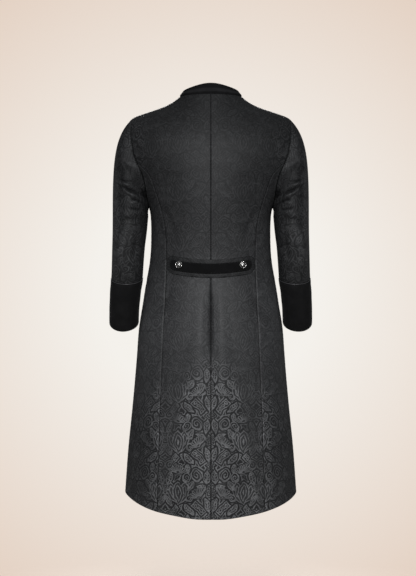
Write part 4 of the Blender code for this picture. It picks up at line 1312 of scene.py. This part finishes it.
def placed(spots, across, up, turn_deg):
    """Coordinates about a motif's middle, from whichever of the two repeats holds it whole."""
    half = REPEAT_HEIGHT / 2
    whole = half / 2 <= up < half * 1.5
    spot = spots[0] if whole else spots[1]
    inputs = {
        "Vector": spot,
        "Location": (across, up if whole else (up + half) % REPEAT_HEIGHT, 0),
        "Rotation": (0, 0, math.radians(turn_deg)),
    }
    return parted(added(spot.tree, "Mapping", inputs, vector_type="TEXTURE"))[:2]


def leaf_depth(x, y, length, width):
    """Distance to a pointed leaf's outline, negative inside it."""
    half_length, half_width = length / 2, width / 2
    bow = (half_length**2 + half_width**2) / (2 * half_width)
    return reach_of(x, abs(y) + (bow - half_width)) - bow


def leaf(x, y, motif):
    """A leaf with a midrib and slanted veins, as its lines and its depth."""
    depth = leaf_depth(x, y, motif["length"], motif["width"])
    veins = least(abs(y), wrapped(x - abs(y) * VEIN_SLANT, VEIN_STEP))
    return most(veins, depth + INSET), depth


def fan(x, y, motif):
    """A palmette: rays that open from a point, with a scalloped rim."""
    away = reach_of(x, y)
    turn = calculate("ARCTAN2", y, x)
    ray = math.radians(motif["ray_deg"])
    scallop = calculate("COSINE", turn * (2 * math.pi / ray)) * -SCALLOP + motif["size"]
    depth = most(away - scallop, (abs(turn) - math.radians(motif["half_deg"])) * away)
    rays = most(wrapped(turn, ray) * away, motif["size"] * RAY_START - away)
    return most(rays, depth + INSET), depth


def curl(x, y, motif):
    """A spiral of one line."""
    away = reach_of(x, y)
    turn = calculate("ARCTAN2", y, x)
    line = wrapped(away - turn * (motif["pitch"] / (2 * math.pi)), motif["pitch"])
    depth = away - motif["size"]
    return most(line, depth), depth


def band(x, y, motif):
    """A row of rings in a frame."""
    step = motif["bead_step"]
    rings = abs(reach_of(calculate("WRAP", x, step / 2, -step / 2), y) - motif["bead_radius"])
    depth = most(abs(y) - motif["half_width"], abs(x) - motif["half_length"])
    return most(rings, depth + INSET), depth


def flower(x, y, motif):
    """A lobed flower with rings inside it."""
    turn = calculate("ARCTAN2", y, x)
    lobes = calculate("COSINE", turn * float(motif["lobes"])) * motif["lobe_depth"]
    depth = reach_of(x, y) - lobes - motif["radius"]
    return most(wrapped(depth, FLOWER_STEP), depth), depth


MOTIFS = (
    (leaf, LEAF_COLUMNS, LEAVES), (fan, FAN_COLUMNS, FANS), (curl, CURL_COLUMNS, CURLS),
    (band, BAND_COLUMNS, BANDS), (flower, FLOWER_COLUMNS, FLOWERS),
)


def damask(tree):
    """Fields of the damask: how much a point is woven line, and how much it is petal."""
    across, up, _ = parted(added(tree, "UVMap", uv_map="cloth"))
    across = calculate("PINGPONG", abs(across * 1000.0), REPEAT_WIDTH)
    up = up * 1000.0
    spot = joined(across, up)
    uneven = added(tree, "TexNoise", {"Vector": spot, "Scale": UNEVEN_SCALE, "Detail": 3.0}, "Color")
    shift_across, shift_up, _ = parted(uneven)
    up = calculate("FLOORED_MODULO", up, REPEAT_HEIGHT)
    around = 2 * math.pi / REPEAT_HEIGHT
    sway = calculate("SINE", up * (2 * around) + across * SWAY_ACROSS) * SWAY
    swayed = across + sway + (shift_across - 0.5) * UNEVEN
    lift = calculate("SINE", across * LIFT_ACROSS + up * around) * SWAY
    lifted = up + lift + (shift_up - 0.5) * UNEVEN
    spots = [
        joined(swayed, calculate("FLOORED_MODULO", lifted + shift, REPEAT_HEIGHT))
        for shift in (0.0, REPEAT_HEIGHT / 2)
    ]

    petals = []
    for across, up, turn_deg, length, width in TULIP:
        petals.append(leaf_depth(*placed(spots, across, up, turn_deg), length, width))
    front = petals[0]
    lines = most(wrapped(front, PETAL_STEP), front)
    for petal in petals[1:]:
        lines = least(lines, most(wrapped(petal, PETAL_STEP), petal, -front))
    petal_depth = least(*petals)
    depth = petal_depth
    for make, columns, rows in MOTIFS:
        for motif in named(columns, rows):
            x, y = placed(spots, motif["across"], motif["up"], motif["turn_deg"])
            inner, outline = make(x, y, motif)
            lines = least(lines, inner)
            depth = least(depth, outline)
    lines = least(lines, most(wrapped(depth, ECHO), -INSET - depth))
    woven = graded(lines, LINE - LINE_SOFT, LINE + LINE_SOFT, 1.0, 0.0)
    filled = graded(petal_depth, -1.0, 0.5, 1.0, 0.0)
    return woven, filled


def new_material(name):
    material = bpy.data.materials.new(name)
    material.use_nodes = True
    return material, material.node_tree, material.node_tree.nodes["Principled BSDF"]


def set_looks(shader, looks):
    for socket, value in looks.items():
        connect(shader.inputs[socket], value)


def noise(tree, scale, detail):
    """A noise field from the object's own coordinates in metres."""
    place = added(tree, "TexCoord", output="Object")
    return added(tree, "TexNoise", {"Vector": place, "Scale": scale, "Detail": detail})


def mixed(tree, share, first, second):
    """Colour between two colours by a field. The node's colours are its sockets 6 and 7."""
    return added(tree, "Mix", {0: share, 6: (*first, 1), 7: (*second, 1)}, 2, data_type="RGBA")


def bumped(tree, height, strength, distance):
    return added(tree, "Bump", {"Strength": strength, "Distance": distance, "Height": height})


def attribute(tree, name):
    return added(tree, "Attribute", output="Fac", attribute_name=name)


def toned(tree, colour, tone):
    return added(tree, "VectorMath", {0: colour, "Scale": tone}, operation="SCALE")


# The jacquard's patches: scale and detail of a noise, and the smooth step that it goes through
PATCHES = {
    "worn": (60.0, 3.0, 0.3, 0.7, 0.45, 1.1),
    "broad": (9.0, 2.0, 0.3, 0.7, 0.90, 1.10),
    "fine": (170.0, 2.0, 0.3, 0.7, 0.83, 1.17),
    "broken": (45.0, 2.0, 0.47, 0.60, 0.0, 0.45),
}
# Scale and detail of the other noises, and strength and distance of the bumps
THREADS = (1400.0, 1.0)
NAP = (38.0, 3.0)
PILE = (900.0, 2.0)
SATIN_GRAIN = (500.0, 2.0)
THREAD_GRAIN = (2500.0, 1.0)
METAL_GRAIN = (300.0, 4.0)
FLOOR_GRAIN = (3.0, 3.0)
JACQUARD_BUMP = (0.35, 0.0004)
VELVET_BUMP = (0.5, 0.0006)
SATIN_BUMP = (0.4, 0.0003)
# Smooth steps: where each one starts and ends, and its value at both. Places on the coat are in metres.
CLEAR_LOW = (-0.80, -0.70, 1.0, 0.0)
CLEAR_MIDDLE = (0.105, 0.135, 1.0, 0.20)
CLEAR_BESIDE = (0.0, 0.028, 0.65, 0.20)
BESIDE_X = 0.150
LOW_SLANT = 0.5  # how much lower the clear damask ends towards the sides
MIDDLE_SLANT = 0.18  # how much the clear middle narrows with height, from MIDDLE_Z up
MIDDLE_Z = -1.07
ARM_SIDE = (0.17, 0.20, 0.0, 0.14)
ARM_HEIGHT = (-0.60, -0.52, 0.0, 1.0)
CLEAR_LEAST = 0.14  # how clear the damask is everywhere, and how much the painted sheen on the lit part of the skirt adds
CLEAR_LIT = 0.86
PETAL_FILL = 0.15
UNCLEAR_SHARE = 0.05
SEAM_SHADOW = (-0.20, -0.10, 0.22, 0.65)  # painted shadow in a seam: its tone by height
SEAM_MM = (0.5, 1.9)
GLINT_LINE_MM = 3.6  # the painted highlight line's distance from its seam, and its half width
GLINT_LINE_HALF = 2.4
JACQUARD_ROUGH = (0.0, 1.0, 0.55, 0.68)
JACQUARD_SPECULAR = (0.0, 0.8, 0.20, 0.45)
LINE_RELIEF = 0.6
THREAD_RELIEF = 0.5
NAP_LIGHT = (0.3, 0.7, 0.0, 1.0)
NAP_RELIEF = 1.5
METAL_POINTED = (0.47, 0.55, 0.0, 1.0)
METAL_WORN = (0.2, 0.7, 0.75, 1.0)
METAL_ROUGH = (0.0, 1.0, 0.34, 0.18)
SATIN_ROUGH = 0.42
THREAD_ROUGH = 0.6
FLOOR_ROUGH = 0.9
VELVET_LOOKS = {
    "Roughness": 0.95, "Specular IOR Level": 0.06, "Sheen Weight": 0.035, "Sheen Roughness": 0.35,
}
THREAD_LOW = (0.006, 0.006, 0.007)
THREAD_HIGH = (0.018, 0.018, 0.020)
METAL_LOW = (0.09, 0.088, 0.085)
METAL_HIGH = (0.74, 0.73, 0.71)


def patches(tree, name):
    scale, detail, *step = PATCHES[name]
    return graded(noise(tree, scale, detail), *step)


def jacquard():
    """Black satin ground with a tone-on-tone damask, painted clearer low on the skirt as a painted sheen
    where light rakes it.
    """
    material, tree, shader = new_material("jacquard")
    woven, filled = damask(tree)
    x, _, height = parted(added(tree, "TexCoord", output="Object"))
    side = abs(x)
    # painted sheen: the damask's lines show clearer low on the skirt, along its middle, beside the princess
    # seams and on the sleeves
    low = graded(height + side * LOW_SLANT, *CLEAR_LOW)
    central = graded(side + (height - MIDDLE_Z) * MIDDLE_SLANT, *CLEAR_MIDDLE)
    beside = graded(abs(side - BESIDE_X), *CLEAR_BESIDE)
    on_arm = graded(side, *ARM_SIDE) * graded(height, *ARM_HEIGHT)
    clear = low * most(central, beside) * CLEAR_LIT + on_arm + CLEAR_LEAST
    worn = patches(tree, "worn")
    share = (woven + filled * PETAL_FILL) * worn * clear + (-clear + 1.0) * UNCLEAR_SHARE
    colour = mixed(tree, share, JACQUARD_GROUND, JACQUARD_LINE)
    distance = attribute(tree, "seam_distance") * 1000.0
    tone = patches(tree, "broad") * patches(tree, "fine")
    # painted shadow: the cloth is darkened within a couple of millimetres of a seam, less high up
    seam_shadow = graded(distance, *SEAM_MM, graded(height, *SEAM_SHADOW), 1.0)
    # painted highlight: a broken light line a few millimetres beside the seams
    broken = patches(tree, "broken") * attribute(tree, "glint")
    seam_glint = graded(abs(distance - GLINT_LINE_MM), 0.0, GLINT_LINE_HALF, 1.0, 0.0) * broken + 1.0
    # the tone attribute's painted light and shade scales the colour and the specular level alike
    shade = tone * seam_shadow * seam_glint * attribute(tree, "tone")
    set_looks(shader, {
        "Base Color": toned(tree, colour, shade),
        "Roughness": graded(share, *JACQUARD_ROUGH),
        "Specular IOR Level": graded(share, *JACQUARD_SPECULAR) * attribute(tree, "tone"),
    })
    relief = noise(tree, *THREADS) * THREAD_RELIEF
    connect(shader.inputs["Normal"], bumped(tree, woven * LINE_RELIEF + relief, *JACQUARD_BUMP))
    return material


def velvet():
    """Black pile that swallows light, with faint brushed patches."""
    material, tree, shader = new_material("velvet")
    nap = noise(tree, *NAP)
    colour = mixed(tree, graded(nap, *NAP_LIGHT), VELVET_LOW, VELVET_HIGH)
    set_looks(shader, {"Base Color": toned(tree, colour, attribute(tree, "tone")), **VELVET_LOOKS})
    pile = noise(tree, *PILE) + nap * NAP_RELIEF
    connect(shader.inputs["Normal"], bumped(tree, pile, *VELVET_BUMP))
    return material


def satin():
    material, tree, shader = new_material("piping_satin")
    grain = noise(tree, *SATIN_GRAIN)
    set_looks(shader, {
        "Base Color": mixed(tree, grain, PIPING_LOW, PIPING_HIGH),
        "Roughness": SATIN_ROUGH,
        "Normal": bumped(tree, grain, *SATIN_BUMP),
    })
    return material


def thread():
    material, tree, shader = new_material("black_thread")
    colour = mixed(tree, noise(tree, *THREAD_GRAIN), THREAD_LOW, THREAD_HIGH)
    set_looks(shader, {"Base Color": colour, "Roughness": THREAD_ROUGH})
    return material


def button_metal():
    """Silver-coloured metal, darker and duller in the hollows of its relief."""
    material, tree, shader = new_material("button_metal")
    grain = noise(tree, *METAL_GRAIN)
    pointed = graded(added(tree, "NewGeometry", output="Pointiness"), *METAL_POINTED)
    share = pointed * graded(grain, *METAL_WORN)
    set_looks(shader, {
        "Base Color": mixed(tree, share, METAL_LOW, METAL_HIGH),
        "Roughness": graded(share, *METAL_ROUGH),
        "Metallic": 1.0,
    })
    return material


FLOOR_RADIUS = 1.3
FLOOR_Z = -1.56
BACKDROP_REACH = 0.33  # slope from the middle of the view at which the backdrop's gradient ends
BACKDROP_NEAR = (0.28, (0.905, 0.878, 0.835))
BACKDROP_MIDDLE = (0.56, (0.850, 0.764, 0.696))
BACKDROP_FAR = (0.89, (0.775, 0.643, 0.550))
FLOOR_SIDES = 96
FLOOR_LOW = (0.70, 0.60, 0.53)
FLOOR_HIGH = (0.76, 0.66, 0.58)
FLOOR_GLOW = 0.55
FLOOR_FADE = 0.35  # share of its radius at which the floor starts to fade
AMBIENT_GREY = 0.80
AMBIENT_STRENGTH = 0.14


def backdrop_floor():
    """A pale floor under the coat that fades into the backdrop."""
    bm = bmesh.new()
    bmesh.ops.create_circle(bm, cap_ends=True, segments=FLOOR_SIDES, radius=FLOOR_RADIUS)
    mesh = bpy.data.meshes.new("floor")
    bm.to_mesh(mesh)
    bm.free()
    material, tree, shader = new_material("floor")
    x, y, _ = parted(added(tree, "TexCoord", output="Object"))
    set_looks(shader, {
        "Base Color": mixed(tree, noise(tree, *FLOOR_GRAIN), FLOOR_LOW, FLOOR_HIGH),
        "Roughness": FLOOR_ROUGH,
        "Emission Color": (*BACKDROP_MIDDLE[1], 1),
        "Emission Strength": FLOOR_GLOW,
        "Alpha": graded(reach_of(x, y), FLOOR_RADIUS * FLOOR_FADE, FLOOR_RADIUS, 1.0, 0.0),
    })
    mesh.materials.append(material)
    floor = in_scene("floor", mesh, (0, 0, FLOOR_Z))
    floor.visible_glossy = False


def make_world():
    """A pale warm backdrop, brightest behind the coat from each side, and a dim neutral light all round."""
    world = bpy.data.worlds.new("backdrop")
    bpy.context.scene.world = world
    world.use_nodes = True
    tree = world.node_tree
    x, y, z = parted(added(tree, "TexCoord", output="Generated"))
    away = reach_of(least(abs(x), abs(y)), z) / most(abs(x), abs(y))
    ramp = tree.nodes.new("ShaderNodeValToRGB")
    first, last = ramp.color_ramp.elements
    stops = (first, ramp.color_ramp.elements.new(0.5), last)
    for stop, (position, colour) in zip(stops, (BACKDROP_NEAR, BACKDROP_MIDDLE, BACKDROP_FAR)):
        stop.position = position
        stop.color = (*colour, 1)
    connect(ramp.inputs[0], away / BACKDROP_REACH)
    seen = tree.nodes["Background"]
    connect(seen.inputs["Color"], Field(ramp.outputs[0]))
    grey = (AMBIENT_GREY, AMBIENT_GREY, AMBIENT_GREY, 1)
    lighting = added(tree, "Background", {"Color": grey, "Strength": AMBIENT_STRENGTH})
    path = added(tree, "LightPath", output="Is Camera Ray")
    mix = added(tree, "MixShader", {0: path, 1: lighting, 2: Field(seen.outputs[0])})
    connect(tree.nodes["World Output"].inputs["Surface"], mix)


LIGHT_COLUMNS = ("name", "x", "y", "z", "aim_z", "width", "height", "spread_deg", "watts")
LIGHTS = (
    ("key", 0.0, 3.8, 1.0, -0.95, 0.8, 0.8, 50, 12.5),
    ("top", 0.0, 1.2, 2.4, -0.4, 1.6, 1.0, 180, 5.0),
    ("front_fill", 0.0, -3.9, 0.9, -0.5, 1.5, 1.5, 180, 70.0),
)
LIGHT_COLOUR = (0.975, 0.985, 1.0)


def make_lights():
    for light in named(LIGHT_COLUMNS, LIGHTS):
        data = bpy.data.lights.new(light["name"], "AREA")
        data.shape = "RECTANGLE"
        data.size, data.size_y = light["width"], light["height"]
        data.energy = light["watts"]
        data.spread = math.radians(light["spread_deg"])
        data.color = LIGHT_COLOUR
        lamp = in_scene(light["name"], data, (light["x"], light["y"], light["z"]))
        aim = Vector((0, 0, light["aim_z"])) - lamp.location
        lamp.rotation_euler = aim.to_track_quat("-Z", "Y").to_euler()
        lamp.visible_camera = False


def make_camera():
    data = bpy.data.cameras.new("photo_camera")
    data.sensor_width = SENSOR
    data.lens = SENSOR * CAMERA_DISTANCE / (METRES_PER_PIXEL * PHOTO_HEIGHT)
    camera = in_scene("photo_camera", data, (CAMERA_X, CAMERA_DISTANCE, CAMERA_Z))
    camera.rotation_euler = (math.radians(90), 0, math.radians(180))
    bpy.context.scene.camera = camera


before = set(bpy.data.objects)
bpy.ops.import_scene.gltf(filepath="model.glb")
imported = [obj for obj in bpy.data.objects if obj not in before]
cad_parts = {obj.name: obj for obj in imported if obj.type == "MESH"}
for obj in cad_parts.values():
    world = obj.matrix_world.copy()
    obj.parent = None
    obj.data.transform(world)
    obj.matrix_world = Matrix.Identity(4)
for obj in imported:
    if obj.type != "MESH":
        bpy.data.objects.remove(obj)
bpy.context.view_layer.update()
LOOKS = bpy.data.collections.new("looks")
bpy.context.scene.collection.children.link(LOOKS)
bpy.context.scene.view_settings.view_transform = "Standard"
make_camera()
make_world()
make_lights()
backdrop_floor()

jacquard_cloth = jacquard()
black_velvet = velvet()
make_backs(jacquard_cloth)
make_side_backs(jacquard_cloth)
make_fronts(jacquard_cloth)
make_sleeves(jacquard_cloth)
make_cuffs(black_velvet)
make_piping(satin())
make_collar(black_velvet)
black_thread = thread()
belt_top = make_half_belt(jacquard_cloth, black_velvet, black_thread)
make_buttons(belt_top, button_metal(), black_thread)
